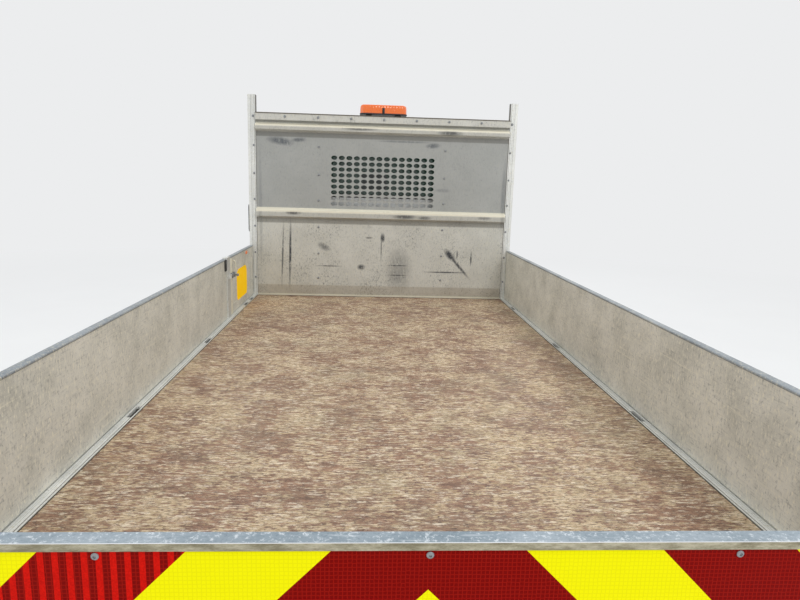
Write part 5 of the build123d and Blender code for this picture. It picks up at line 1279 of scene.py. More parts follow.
def padded(name, shape, cap=SWELL_CAP):
    """A cushion: the shape is remeshed, swelled by cloth pressure for some frames, its movement is capped, and one
    subdivision smooths it. A point that moved further than the cap is drawn back to the cap's distance."""
    piece = put(name, shape, "truck", seat_cloth, sharp=180)
    bpy.context.view_layer.objects.active = piece
    remesh = piece.modifiers.new("even_mesh", "REMESH")
    remesh.mode, remesh.voxel_size, remesh.use_smooth_shade = "VOXEL", VOXEL, True
    bpy.ops.object.modifier_apply(modifier=remesh.name)
    count = len(piece.data.vertices)
    start = np.empty(count * 3, np.float32)
    piece.data.vertices.foreach_get("co", start)
    cloth = piece.modifiers.new("filling", "CLOTH")
    cloth.settings.use_pressure, cloth.settings.uniform_pressure_force = True, PRESSURE
    cloth.settings.effector_weights.gravity = 0.0
    cloth.point_cache.frame_start, cloth.point_cache.frame_end = 1, FRAMES
    for frame_number in range(1, FRAMES + 1):
        bpy.context.scene.frame_set(frame_number)
    swelled = piece.evaluated_get(bpy.context.evaluated_depsgraph_get()).data
    finish_points = np.empty(count * 3, np.float32)
    swelled.vertices.foreach_get("co", finish_points)
    piece.modifiers.remove(cloth)
    bpy.context.scene.frame_set(1)
    move = (finish_points - start).reshape(-1, 3)
    reach = np.maximum(np.linalg.norm(move, axis=1, keepdims=True), 1e-9)
    move *= np.minimum(reach, cap) / reach
    piece.data.vertices.foreach_set("co", (start.reshape(-1, 3) + move).ravel())
    smooth = piece.modifiers.new("smooth", "SUBSURF")
    smooth.levels = smooth.render_levels = 1
    bpy.ops.object.modifier_apply(modifier=smooth.name)
    piece.data.shade_smooth()
    return piece


# %% Cushions, backs and head restraints
SEAT_BACK_Y, SEAT_BASE, SEAT_LOW = 1.180, 1.000, 1.150
PLACES = [  # name, lowest and highest across, middles of the head restraints
    ("driver", 0.320, 0.800, (0.560,)),
    ("passenger_outer", -0.850, -0.332, (-0.590,)),
    ("passenger_inner", -0.326, 0.190, (-0.070,)),
]
SHRINK = 0.016
CUSHION = rounded(
    (SEAT_BACK_Y + 0.380, (SEAT_BASE + SEAT_LOW) / 2), (0.430 - 2 * SHRINK, SEAT_LOW - SEAT_BASE - 2 * SHRINK),
    0.050, 6)
BACK_LINE = [  # along, up, half thickness of the back
    (SEAT_BACK_Y + 0.118, 1.130, 0.050), (SEAT_BACK_Y + 0.085, 1.330, 0.056), (SEAT_BACK_Y + 0.062, 1.560, 0.050),
    (SEAT_BACK_Y + 0.050, 1.740, 0.040)]
HEAD = rounded((SEAT_BACK_Y + 0.046, 1.842), (0.090 - 2 * SHRINK + 0.012, 0.158 - SHRINK), 0.030, 6)


def back_outline():
    """The back's side view: its middle line moved forward and back by the half thickness, with a round top."""
    line = np.array(BACK_LINE)
    front = np.stack([line[:, 0] + line[:, 2] - SHRINK, line[:, 1] + SHRINK / 2], 1)
    rear = np.stack([line[:, 0] - line[:, 2] + SHRINK, line[:, 1] + SHRINK / 2], 1)
    return np.concatenate([front, rear[::-1]])


for name, left, right, heads in PLACES:
    across = (left + SHRINK, right - SHRINK)
    padded(f"{name}_cushion", plate(CUSHION, across, "X", 0.020))
    padded(f"{name}_back", plate(back_outline(), across, "X", 0.020))
    for x in heads:
        padded(f"{name}_head_restraint", plate(HEAD, (x - 0.108, x + 0.108), "X", 0.020), 0.012)
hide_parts("seats")
posts = lathe([(1.700, 0.006), (1.800, 0.006)], "Z", (0.0, SEAT_BACK_Y + 0.046, 0.0), 12)
post_places = [(x + off, 0.0, 0.0) for *_, heads in PLACES for x in heads for off in (-0.055, 0.055)]
put("head_restraint_posts", copies(posts, post_places), "truck", zinc)

# %% [markdown]
# ## Drawing on the cab's skin
# Seals, wipers, handles and trims follow panels that curve two ways. Working out those curves again would copy
# the model's formulas. Instead an outline is dropped onto the frame's own faces, as a draughtsman would project
# it, and the points and normals that it meets carry the new piece.

# %% Points dropped onto the frame
def faces_of(*names):
    """A search tree over the faces of CAD nodes."""
    shapes = []
    for name in names:
        mesh = nodes[name].data
        points = np.empty(len(mesh.vertices) * 3, np.float32)
        mesh.vertices.foreach_get("co", points)
        mesh.calc_loop_triangles()
        corners = np.empty(len(mesh.loop_triangles) * 3, np.int32)
        mesh.loop_triangles.foreach_get("vertices", corners)
        shapes.append((points.reshape(-1, 3), [corners.reshape(-1, 3)]))
    points, groups = joined(*shapes)
    return BVHTree.FromPolygons(points.tolist(), np.concatenate(groups).tolist())


def met(tree, start, direction):
    """The face that a ray meets first. A ray that slips through a gap is sent again a hair to the side."""
    for nudge in (0.0, 0.002, -0.002, 0.004):
        hit = tree.ray_cast(Vector(start) + Vector((nudge, nudge, nudge)), Vector(direction))
        if hit[0]:
            return hit
    raise ValueError(f"nothing met from {tuple(start)}")


def dropped(tree, starts, direction, lift=0.0):
    """Where rays from the starts meet the faces, lifted off along the normals, and the normals themselves."""
    hits = [met(tree, start, direction) for start in starts]
    places = np.array([hit[0] for hit in hits])
    normals = np.array([hit[1] for hit in hits])
    normals *= -np.sign(normals @ np.array(direction, float))[:, None]
    return places + normals * lift, normals


CAB_FOOT = span("front_bumper", "Z")[0]
NOSE_Y = cad_box[1][1]
SEAL = circle((0, 0), 0.011, 10) * (1.3, 0.55)
SCREEN_MIDDLE, DOOR_MIDDLE = 0.22, 0.28


def cut_corners(points, radius, middle):
    """A closed outline with its corners rounded. Each becomes three points: one a radius back along each side, and
    between them one that goes back along both sides by the middle share of the radius."""
    corners = np.array(points, float)
    into = np.roll(corners, 1, 0) - corners
    out = np.roll(corners, -1, 0) - corners
    into /= np.linalg.norm(into, axis=1, keepdims=True)
    out /= np.linalg.norm(out, axis=1, keepdims=True)
    cut = [corners + into * radius, corners + (into + out) * radius * middle, corners + out * radius]
    return np.stack(cut, 1).reshape(-1, 2)


def screen_outline(half_foot, half_top, foot, top, radius):
    """A windscreen's outline across and up: a trapezium with cut corners."""
    corners = [(half_foot, foot), (half_top, top), (-half_top, top), (-half_foot, foot)]
    return cut_corners(corners, radius, SCREEN_MIDDLE)


# %% Window seals
front_skin = faces_of("cab_shell", "cab_glass", "bonnet", "front_wings")
outline = resampled(screen_outline(0.826, 0.756, CAB_FOOT + 1.144, CAB_FOOT + 1.916, 0.080), 160)
seal_path, seal_normals = dropped(front_skin, along("Y", 4.0, *outline.T), (0, -1, 0), 0.001)
windscreen_seal = swept(seal_path, SEAL, seal_normals, closed=True)
put("windscreen_seal", windscreen_seal, "truck", black_rubber, sharp=60)

CAB_BACK_Y = span("cab_shell", "Y")[0]
rear_outline = resampled(rounded((0.0, CAB_FOOT + 1.680), (0.964, 0.344), 0.047, 8), 120)
rear_path = along("Y", CAB_BACK_Y, *rear_outline.T)
rear_window_seal = swept(rear_path, SEAL, (0, -1, 0), closed=True)
put("rear_window_seal", rear_window_seal, "truck", black_rubber, sharp=60)

DOOR_WINDOW = [(1.830, 1.190), (1.830, 1.835), (1.530, 1.845), (1.015, 1.190)]


def on_door(back_up):
    """Places behind the nose and above the cab's foot, as starts of rays beside the right door."""
    back_up = np.asarray(back_up, float)
    return along("X", 2.0, NOSE_Y - back_up[:, 0], CAB_FOOT + back_up[:, 1])


door_skin = faces_of("door_right", "door_glass_right")
window_line = resampled(cut_corners(DOOR_WINDOW, 0.060, DOOR_MIDDLE), 140)
window_path, window_normals = dropped(door_skin, on_door(window_line), (-1, 0, 0), 0.001)
window_seal = swept(window_path, SEAL * 0.8, window_normals, closed=True)
on_doors("door_window_seal", window_seal, black_rubber, sharp=60)
print("seals round four windows")

# %% [markdown]
# ## Wipers, handles and lamps of the cab
# These are small mouldings on the skin: wiper arms with rubber blades, pull handles in cups, repeaters, fog lamps
# and the lamps' bright bowls. Each is swept or turned, then set on the point of the skin where it belongs.

# %% Wipers
ARM = rounded((0, 0), (0.014, 0.008), 0.003, 3)
BLADE = rounded((0, 0), (0.007, 0.014), 0.002, 3)
WIPERS = [  # foot of the arm, tip of the arm, both ends of the blade: across and above the cab's foot
    ((0.230, 1.120), (0.420, 1.195), (0.120, 1.172), (0.700, 1.212)),
    ((-0.520, 1.120), (-0.330, 1.195), (-0.640, 1.172), (-0.050, 1.212)),
]


def screen_line(first, last, count, lift):
    """A straight line on the screen as seen from in front, dropped onto it."""
    line = np.linspace(first, last, count)
    return dropped(front_skin, along("Y", 4.0, line[:, 0], CAB_FOOT + line[:, 1]), (0, -1, 0), lift)


wiper_parts = []
for foot, tip, blade_low, blade_high in WIPERS:
    arm_path, arm_normals = screen_line(foot, tip, 8, 0.024)
    blade_path, blade_normals = screen_line(blade_low, blade_high, 16, 0.009)
    pivot_place = dropped(front_skin, [(foot[0], 4.0, CAB_FOOT + foot[1])], (0, -1, 0))[0][0]
    wiper_parts += [
        swept(arm_path, ARM, arm_normals), swept(blade_path, BLADE, blade_normals),
        lathe([(-0.012, 0.016), (0.026, 0.014), (0.034, 0.008)], "Z", pivot_place, 16)]
put("wipers", joined(*wiper_parts), "truck", black_trim)

# %% Door handles, locks, repeaters and lower trims
def on_skin(tree, shape, start, direction):
    """A shape made at the origin with its outside facing X, set where a ray meets the skin. Its X turns to the
    skin's normal, its Z to the part of up that lies in the skin, and its Y to their cross product."""
    places, normals = dropped(tree, [start], direction)
    out = np.array(normals[0])
    up = np.array((0.0, 0.0, 1.0)) - out[2] * out
    up /= np.linalg.norm(up)
    return shape[0] @ np.stack([out, np.cross(up, out), up]) + places[0], shape[1]


HANDLE_AT, LOCK_AT = (1.800, 1.085), (1.865, 1.020)
cup = slab((0, 0), (0.150, 0.056), 0.022, (-0.004, 0.004), "X", 0.002)
pull = bent(
    [
        (0.000, -0.066, 0.004), (0.022, -0.050, 0.006), (0.028, 0.000, 0.007), (0.022, 0.050, 0.006),
        (0.000, 0.066, 0.004)], 5, rounded((0, 0), (0.026, 0.010), 0.004, 3), up=(1, 0, 0))
lock = lathe([(0.0, 0.014), (0.004, 0.014), (0.006, 0.011)], "X", sides=18)
handle = joined(on_skin(door_skin, joined(cup, pull), on_door([HANDLE_AT])[0], (-1, 0, 0)),
                on_skin(door_skin, lock, on_door([LOCK_AT])[0], (-1, 0, 0)))
trim_line = dropped(door_skin, on_door(np.linspace((1.880, 0.700), (1.020, 0.700), 30)), (-1, 0, 0), 0.004)
trim = swept(trim_line[0], rounded((0, 0), (0.075, 0.012), 0.005, 4), trim_line[1])
on_doors("door_handle_and_trim", joined(handle, trim), black_trim, sharp=45)

wing_skin = faces_of("front_wings")
repeater = slab((0, 0), (0.085, 0.032), 0.014, (-0.002, 0.008), "X", 0.003)
repeater = on_skin(wing_skin, repeater, (2.0, NOSE_Y - 0.640, CAB_FOOT + 0.860), (-1, 0, 0))
put("side_repeaters", pair(repeater), "truck", amber_lens)
print("handles, locks, trims and repeaters")

# %% Headlamp bowls, fog lamps and number plates
lamp_skin = faces_of("headlamps")
CHROME_RINGS = [(-0.004, 0.052), (0.004, 0.058), (0.006, 0.064), (0.003, 0.068), (-0.004, 0.066)]
lamp_x = (span("headlamps", "X")[1] + 0.560) / 2
lamp_z = centre("headlamps")[2]
bowls = []
for x, radius_share in ((lamp_x - 0.075, 1.0), (lamp_x + 0.075, 0.85)):
    ring = lathe([(reach, radius * radius_share) for reach, radius in CHROME_RINGS], "X", sides=32, closed=True)
    bulb = lathe([(-0.002, 0.030), (0.006, 0.027), (0.012, 0.016), (0.014, 0.002)], "X", sides=24)
    bowls.append(on_skin(lamp_skin, joined(ring, bulb), (x, 4.0, lamp_z), (0, -1, 0)))
chromed = grained(
    "chromed_reflector", "#C9CCCF", "#DADCDE", 0.12, 1.2, dust_share=0.0, relief=0.02, metallic=0.95)
put("headlamp_bowls", pair(joined(*bowls)), "truck", chromed)

bumper_skin = faces_of("front_bumper")
fog = lathe([(-0.006, 0.062), (0.006, 0.060), (0.008, 0.052)], "X", sides=28)
fog = on_skin(bumper_skin, fog, (0.640, 4.0, CAB_FOOT + 0.215), (0, -1, 0))
put("fog_lamps", pair(fog), "truck", clear_lens)

plate_low, plate_top = CAB_FOOT + 0.308, CAB_FOOT + 0.414
number_paint = grained(
    "blank_number_plate", "#E9E9E4", "#F1F1EE", 0.35, 1.0, dust="#9A9284", dust_share=0.1, relief=0.05)
front_plate = slab(
    (0.0, (plate_low + plate_top) / 2), (0.520, plate_top - plate_low), 0.008, (NOSE_Y - 0.024, NOSE_Y - 0.019),
    "Y", 0.001)
put("front_number_plate", front_plate, "truck", number_paint)
yellow_plate = grained(
    "blank_rear_number_plate", "#E8C832", "#EFD24A", 0.35, 1.0, dust="#9A8A50", dust_share=0.1, relief=0.05)
BAR_REAR = span("underrun_bar", "Y")[0] + 0.010
PLATE_X, PLATE_UP = -0.330, centre("tail_lamps")[2]
rear_plate = slab((PLATE_X, PLATE_UP), (0.420, 0.105), 0.008, (BAR_REAR - 0.004, BAR_REAR + 0.001), "Y", 0.001)
bracket = slab((PLATE_X, PLATE_UP), (0.400, 0.090), 0.004, (BAR_REAR, BAR_REAR + 0.008), "Y", 0.001)
leg = slab((0.0, PLATE_UP - 0.045), (0.030, 0.110), 0.004, (BAR_REAR + 0.002, BAR_REAR + 0.008), "Y", 0.001)
legs = copies(leg, [(-0.440, 0, 0), (-0.220, 0, 0)])
put("rear_number_plate", rear_plate, "truck", yellow_plate)
put("rear_plate_bracket", joined(bracket, legs), "truck", chassis_black)
print("bowls, fog lamps and blank plates")

# %% Mirror glass and roof aerial
mirror_low, mirror_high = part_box("mirror_right")
glass_reach = (mirror_low.y - 0.002, mirror_low.y + 0.001)
face_x = mirror_high.x - 0.085
silvered = grained(
    "silvered_mirror_glass", "#B9C0C4", "#C6CCD0", 0.04, 1.0, dust_share=0.0, relief=0.0, metallic=1.0)
main_glass = slab((face_x, mirror_high.z - 0.112), (0.146, 0.196), 0.026, glass_reach, "Y", 0.001)
wide_glass = slab((face_x, mirror_high.z - 0.254), (0.146, 0.066), 0.022, glass_reach, "Y", 0.001)
on_doors("mirror_glass", joined(main_glass, wide_glass), silvered)
roof_skin = faces_of("cab_shell")
aerial_foot = dropped(roof_skin, [(-0.350, NOSE_Y - 1.420, 4.0)], (0, 0, -1))[0][0]
mast = bent([(0, 0, 0.010), (0, -0.020, 0.060), (0, -0.060, 0.150)], 6, circle((0, 0), 0.0028, 8), up=(1, 0, 0))
boot = lathe([(-0.004, 0.020), (0.006, 0.017), (0.020, 0.008), (0.026, 0.0055)], "Z", sides=20)
put("roof_aerial", copies(joined(mast, boot), [aerial_foot]), "truck", black_rubber)
print("mirror glass and aerial")

# %% [markdown]
# ## Inside the cab
# Through the glass and the open doors one sees a dashboard with vents and dials, a gear lever, pedals, door cards
# and a mat. They are mouldings, so each is a rounded plate, a lathe shape or a swept bar on its own carrier.

# %% Dashboard: binnacle, dials, vents, radio and glove box
DRIVER_X = 0.560
DASH_REAR = NOSE_Y - 1.160
DASH_TOP = CAB_FOOT + 1.060
dial_paper, tree, shader, place = begin("printed_dial_face", "#17181A", 0.35)
ticks = add(tree, "TexVoronoi", {"Vector": place, "Scale": per(9), "Randomness": 0.0})
tick = ranged(tree, ticks, 0.12, 0.06)
connect(tree, shader, Base_Color=mixed(tree, tick, "#17181A", "#D8DADC"))
hood_path = curve_through(
    [(-0.150, 0.0, -0.010), (-0.140, 0.0, 0.040), (0.0, 0.0, 0.072), (0.140, 0.0, 0.040), (0.150, 0.0, -0.010)],
    5)
hood = swept(hood_path, rounded((0, 0), (0.012, 0.110), 0.005, 4), up=(0, 1, 0))
hood = copies(hood, [(DRIVER_X, DASH_REAR + 0.110, DASH_TOP - 0.020)])
dash_skin = faces_of("dashboard")
pod_ring = lathe([(-0.004, 0.050), (0.006, 0.050), (0.008, 0.046)], "X", sides=28)
dial = lathe([(0.004, 0.044), (0.0095, 0.043)], "X", sides=28)
pod, dials = (joined(*[copies(part, [(0, y, 0)]) for y in (-0.062, 0.062)]) for part in (pod_ring, dial))
facing = (DRIVER_X, 0.0, CAB_FOOT + 1.010)
slats = [
    slab((0.0, offset), (0.085, 0.005), 0.002, (-0.002, 0.010), "X", steps=3)
    for offset in np.linspace(-0.018, 0.018, 4)]
vent_frame = framed((0, 0), (0.100, 0.056), 0.014, "X", 0.004, rounded((0, 0), (0.010, 0.012), 0.003, 3))
vent = joined(vent_frame, *slats)
VENTS_X = (-0.790, -0.150, 0.150, 0.800)
vents = [on_skin(dash_skin, vent, (x, 0.5, CAB_FOOT + 0.998), (0, 1, 0)) for x in VENTS_X]
button = slab((0.0, 0.0), (0.022, 0.014), 0.003, (-0.001, 0.006), "X", 0.001, steps=3)
button_places = [(0, y, z) for y in (-0.060, -0.030, 0.0, 0.030, 0.060) for z in (-0.030, 0.030)]
buttons = joined(*[copies(button, [place]) for place in button_places])
panel = slab((0, 0), (0.190, 0.110), 0.010, (-0.002, 0.004), "X", 0.0015)
console = on_skin(dash_skin, joined(panel, buttons), (0.0, 0.5, CAB_FOOT + 0.880), (0, 1, 0))
glove_lid = slab((0, 0), (0.380, 0.150), 0.016, (-0.002, 0.005), "X", 0.002)
glove = on_skin(dash_skin, glove_lid, (-0.520, 0.5, CAB_FOOT + 0.865), (0, 1, 0))
pods = on_skin(dash_skin, pod, facing, (0, 1, 0))
put("dashboard_trim", joined(hood, *vents, console, glove, pods), "truck", black_trim)
put("dashboard_dials", on_skin(dash_skin, dials, facing, (0, 1, 0)), "truck", dial_paper)
print("dashboard with", len(vents), "vents")

# %% Gear lever, hand brake, pedals and mat
FLOOR_TOP = 0.780
gaiter = lathe(
    [(0.0, 0.055), (0.020, 0.050), (0.050, 0.032), (0.095, 0.016), (0.110, 0.012)], "Z",
    (0.255, 1.930, FLOOR_TOP + 0.140), 24)
tunnel = slab((0.255, 1.930), (0.150, 0.180), 0.030, (FLOOR_TOP - 0.001, FLOOR_TOP + 0.145), "Z", 0.012)
stalk = swept(
    [(0.255, 1.930, FLOOR_TOP + 0.240), (0.262, 1.905, FLOOR_TOP + 0.360)], circle((0, 0), 0.007, 12),
    up=(1, 0, 0))
knob = lathe(
    [(0.0, 0.012), (0.012, 0.024), (0.034, 0.027), (0.050, 0.020), (0.056, 0.006)], "Z",
    (0.262, 1.903, FLOOR_TOP + 0.350), 24)
brake = bent(
    [(0.270, 1.560, FLOOR_TOP + 0.020), (0.270, 1.640, FLOOR_TOP + 0.100), (0.270, 1.760, FLOOR_TOP + 0.150)],
    5, rounded((0, 0), (0.026, 0.030), 0.010, 4), up=(1, 0, 0))
levers = joined(gaiter, tunnel, stalk, knob, brake)
put("gear_lever_and_brake", levers, "truck", black_rubber, sharp=45)
PEDALS = [(0.455, 2.060, 0.100), (0.560, 2.060, 0.100), (0.665, 2.080, 0.060)]
pedal_parts = []
for x, y, width in PEDALS:
    pad = slab((x, FLOOR_TOP + 0.160), (width * 0.75, 0.070), 0.012, (y - 0.010, y), "Y", 0.003)
    grips = [
        slab((x, FLOOR_TOP + 0.160 + up), (width * 0.62, 0.006), 0.002, (y - 0.013, y - 0.008), "Y", steps=3)
        for up in (-0.020, 0.0, 0.020)]
    arm = bent(
        [(x, y, FLOOR_TOP + 0.165), (x, y + 0.050, FLOOR_TOP + 0.230), (x, y + 0.060, FLOOR_TOP + 0.330)], 4,
        rounded((0, 0), (0.010, 0.016), 0.003, 3), up=(1, 0, 0))
    pedal_parts += [pad, *grips, arm]
put("pedals", joined(*pedal_parts), "truck", black_rubber, sharp=45)
mat_rubber = grained("ribbed_floor_mat", "#202122", "#2A2A29", 0.8, 3.0, dust="#6E6454", dust_share=0.45)
mats = [
    slab((x, 1.930), (0.560, 0.300), 0.040, (FLOOR_TOP - 0.001, FLOOR_TOP + 0.005), "Z", 0.002)
    for x in (0.560, -0.420)]
ribs = [copies(slab((x, 0.0), (0.500, 0.006), 0.002, (FLOOR_TOP + 0.004, FLOOR_TOP + 0.007), "Z", steps=3),
               [(0, y, 0) for y in np.linspace(1.80, 2.06, 14)]) for x in (0.560, -0.420)]
put("floor_mats", joined(*mats, *ribs), "truck", mat_rubber)
print("lever, brake, three pedals and two mats")

# %% Door cards, armrests and inside handles
inner_skin = faces_of("door_right")
card_at = along("X", 0.3, NOSE_Y - np.array([1.560]), CAB_FOOT + np.array([0.900]))[0]
armrest = joined(
    slab((0.0, 0.0), (0.420, 0.060), 0.024, (-0.004, 0.046), "X", 0.010),
    slab((0.170, 0.085), (0.110, 0.034), 0.012, (-0.002, 0.012), "X", 0.003),
    slab((0.060, -0.230), (0.400, 0.130), 0.030, (-0.004, 0.040), "X", 0.008))
grille_ring = lathe([(-0.002, 0.075), (0.008, 0.075), (0.010, 0.068)], "X", (0.0, -0.260, -0.210), 32)
card = on_skin(inner_skin, joined(armrest, grille_ring), card_at, (1, 0, 0))
on_doors("door_card", card, dash_trim, sharp=45)
print("door cards")

# %% [markdown]
# ## Steering wheel
# The frame's wheel has a rim, a boss and a bar. Real wheels have a padded boss and thumb grips, and stitched
# leather over the rim. The frame's own piece stays, and the pad and the stalks are added to it.

# %% Boss pad and column stalks
WHEEL_CENTRE = np.array((DRIVER_X, NOSE_Y - 1.235, CAB_FOOT + 1.110))
WHEEL_FACE = Vector((0.0, -0.82, 0.57)).normalized()
pad = slab((0, 0), (0.150, 0.110), 0.036, (0.010, 0.034), "X", 0.010)
turn = np.array(Vector((1, 0, 0)).rotation_difference(WHEEL_FACE).to_matrix())
put("steering_boss_pad", (pad[0] @ turn.T + WHEEL_CENTRE, pad[1]), "truck", dash_trim)
STALK_PATH = [(0.030, 0.085, -0.058), (0.110, 0.070, -0.046), (0.165, 0.058, -0.034)]
stalks = []
for side in (-1, 1):
    points = [WHEEL_CENTRE + (side * across, ahead, up) for across, ahead, up in STALK_PATH]
    stalks.append(bent(points, 4, circle((0, 0), 0.007, 10)))
put("column_stalks", joined(*stalks), "truck", black_trim, sharp=60)
print("boss pad and stalks")

# %% [markdown]
# ## Under the body
# Below the bed hang mud flaps, the tank's straps and cap, a battery box, brake pipes and the lamps' segments.
# Bolts hold the cross members and bearers. They are cut, bent and turned parts, made with the same few functions.

# %% Mud flaps, tank fittings and battery box
REAR_AXLE_Y = centre("tyre_rear_right")[1]
FRONT_AXLE_Y = centre("tyre_front_right")[1]
flap = slab((0.910, 0.345), (0.236, 0.370), 0.014, (REAR_AXLE_Y - 0.424, REAR_AXLE_Y - 0.419), "Y", 0.001)
front_flap = slab(
    (0.900, 0.235), (0.190, 0.180), 0.012, (FRONT_AXLE_Y - 0.461, FRONT_AXLE_Y - 0.456), "Y", 0.001)
flap_bolts = copies(bolt(0.0075, 0.008), [(x, REAR_AXLE_Y - 0.424, 0.505) for x in (0.830, 0.910, 0.990)])
put("mud_flaps", pair(joined(flap, front_flap)), "truck", black_rubber)
put("mud_flap_bolts", pair(flap_bolts), "truck", zinc)

tank_low, tank_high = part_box("fuel_tank")
TANK_MIDDLE, TANK_SIZE = (-0.630, 0.530), (0.306, 0.226)
strap_section = rounded((0, 0), (0.003, 0.034), 0.001, 3)
strap = framed(TANK_MIDDLE, TANK_SIZE, 0.038, "Y", 0.0, strap_section, steps=7)
strap_places = [(0.0, y, 0.0) for y in (tank_low.y + 0.120, tank_high.y - 0.120)]
put("tank_straps", copies(strap, strap_places), "truck", zinc, sharp=50)
filler = lathe(
    [(0.0, 0.034), (-0.020, 0.034), (-0.024, 0.042), (-0.046, 0.042), (-0.052, 0.036), (-0.054, 0.010)], "X",
    (tank_low.x + 0.004, tank_high.y - 0.230, tank_high.z - 0.060), 28)
put("fuel_cap", filler, "truck", black_trim)

BATTERY_MIDDLE, BATTERY_SIZE, LID_OVER = (0.6175, 0.510), (0.285, 0.420), 0.012
BATTERY_FOOT, BATTERY_TOP = 0.440, 0.670
lid_size = [side + LID_OVER for side in BATTERY_SIZE]
battery_box = slab(BATTERY_MIDDLE, BATTERY_SIZE, 0.020, (BATTERY_FOOT, BATTERY_TOP), "Z", 0.008)
lid = slab(BATTERY_MIDDLE, lid_size, 0.024, (BATTERY_TOP - 0.030, BATTERY_TOP + 0.010), "Z", 0.006)
ridges = copies(slab((0.0, 0.0), (0.250, 0.012), 0.004, (0.0, 0.006), "Z", 0.002),
                [(BATTERY_MIDDLE[0], y, BATTERY_TOP + 0.009) for y in np.linspace(0.36, 0.66, 6)])
battery_arm = slab((0.0, 0.0), (0.030, 0.050), 0.004, (0.454, 0.480), "X", 0.001)
arms = copies(battery_arm, [(0.0, y, 0.600) for y in (0.370, 0.650)])
put("battery_box", joined(battery_box, lid, ridges, arms), "truck", black_trim)
print("flaps, straps, fuel cap and battery box")

# %% Brake pipes, bolts and tail-lamp segments
RAIL_OUT = span("chassis_rails", "X")[1]
RAIL_TOP = span("chassis_rails", "Z")[1]
PIPE_PATH = [(FRONT_AXLE_Y - 0.45, 0.050), (1.000, 0.050), (0.0, 0.046), (-1.200, 0.050), (-2.700, 0.050)]
PIPE_PITCH = 0.016
pipe_line = curve_through([(RAIL_OUT + 0.006, y, RAIL_TOP - drop) for y, drop in PIPE_PATH], 10)
pipe_section = circle((0, 0), 0.0045, 8)
pipes = joined(swept(pipe_line, pipe_section), swept(pipe_line - (0, 0, PIPE_PITCH), pipe_section))
clips = copies(slab((0.0, 0.0), (0.020, 0.040), 0.004, (0.0, 0.013), "X", 0.001),
               [(RAIL_OUT - 0.001, y, RAIL_TOP - 0.058) for y in np.arange(-2.4, 1.6, 0.45)])
put("brake_pipes", pair(joined(pipes, clips)), "truck", black_rubber, sharp=60)
rail_bolt = spun(bolt(0.010, 0.011), "Z", 90, (0, 0, 0))
MEMBERS_Y = (-3.015, -2.505, -1.105, 0.007, 1.057, 1.730)
bolt_places = [
    (RAIL_OUT, y + off, RAIL_TOP - drop)
    for y in MEMBERS_Y for off in (-0.016, 0.016) for drop in (0.085, 0.125)]
rail_bolts = copies(rail_bolt, bolt_places)
put("chassis_bolts", pair(rail_bolts), "truck", zinc)

lamp_low, lamp_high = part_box("tail_lamps")
lamp_y = lamp_low.y
lamp_z = (lamp_low.z + lamp_high.z) / 2
SEGMENTS = [  # middle across, width, name of the lens
    (0.612, 0.092, "red_a"), (0.718, 0.104, "amber"), (0.828, 0.092, "red_b")]
segment = {name: slab((x, lamp_z), (width, 0.100), 0.010, (lamp_y - 0.010, lamp_y + 0.002), "Y", 0.003)
           for x, width, name in SEGMENTS}
put("tail_lamp_red_lenses", pair(joined(segment["red_a"], segment["red_b"])), "truck", red_lens)
put("tail_lamp_amber_lenses", pair(segment["amber"]), "truck", amber_lens)
frame_section = rounded((0, 0), (0.005, 0.012), 0.002, 3)
frames = [
    framed((x, lamp_z), (width + 0.006, 0.108), 0.012, "Y", lamp_y - 0.002, frame_section)
    for x, width, _ in SEGMENTS]
put("tail_lamp_frames", pair(joined(*frames)), "truck", black_trim, sharp=50)
print("two pipes a side,", 2 * len(rail_bolts[0]) // len(rail_bolt[0]), "chassis bolts, and lamp segments")

# %% Step treads and spring leaves
tread_bars = copies(slab((0.0, 0.0), (0.060, 0.010), 0.003, (0.0, 0.004), "Z", 0.001, steps=3),
                    [(0.932, y, 0.459) for y in np.linspace(1.17, 1.65, 13)])
put("step_treads", pair(tread_bars), "truck", black_rubber)
SPRING_X = 0.420
LEAF_HALVES = (0.46, 0.36, 0.27, 0.18)
LEAF_UP, LEAF_RISE, LEAF_PITCH = 0.400, 0.125, 0.010
MAIN_HALF, RISE_POWER = 0.62, 1.3
leaf_section = rounded((0, 0), (0.056, 0.008), 0.002, 3)
leaves = []
for count, half in enumerate(LEAF_HALVES):
    arc = []
    for part in np.linspace(-1, 1, 13):
        rise = LEAF_RISE * abs(part) ** 2 * (half / MAIN_HALF) ** RISE_POWER
        arc.append((SPRING_X, REAR_AXLE_Y + part * half, LEAF_UP + rise - LEAF_PITCH * count))
    leaves.append(swept(arc, leaf_section))
U_BOLT_PATH = [(0.034, 0.330), (0.034, 0.452), (0.0, 0.466), (-0.034, 0.452), (-0.034, 0.330)]
ubolts = []
for off in (-0.050, 0.050):
    points = [(SPRING_X + across, REAR_AXLE_Y + off, up) for across, up in U_BOLT_PATH]
    ubolts.append(bent(points, 4, circle((0, 0), 0.007, 10), up=(0, 1, 0)))
put("spring_leaves", pair(joined(*leaves)), "truck", chassis_black)
put("spring_u_bolts", pair(joined(*ubolts)), "truck", zinc, sharp=60)
print("step treads, leaves and U-bolts")

# %% [markdown]
# ## Under the bonnet
# Behind the grille stands a radiator of thin aluminium fins in a black cowl, and the engine wears a ribbed cover
# with an oil cap. Two rubber hoses join them. Fins are far too many to model, so the core is a plate whose
# material has fine dark lines of painted shade between fins and tubes, and the hoses are circles carried along
# smooth curves.

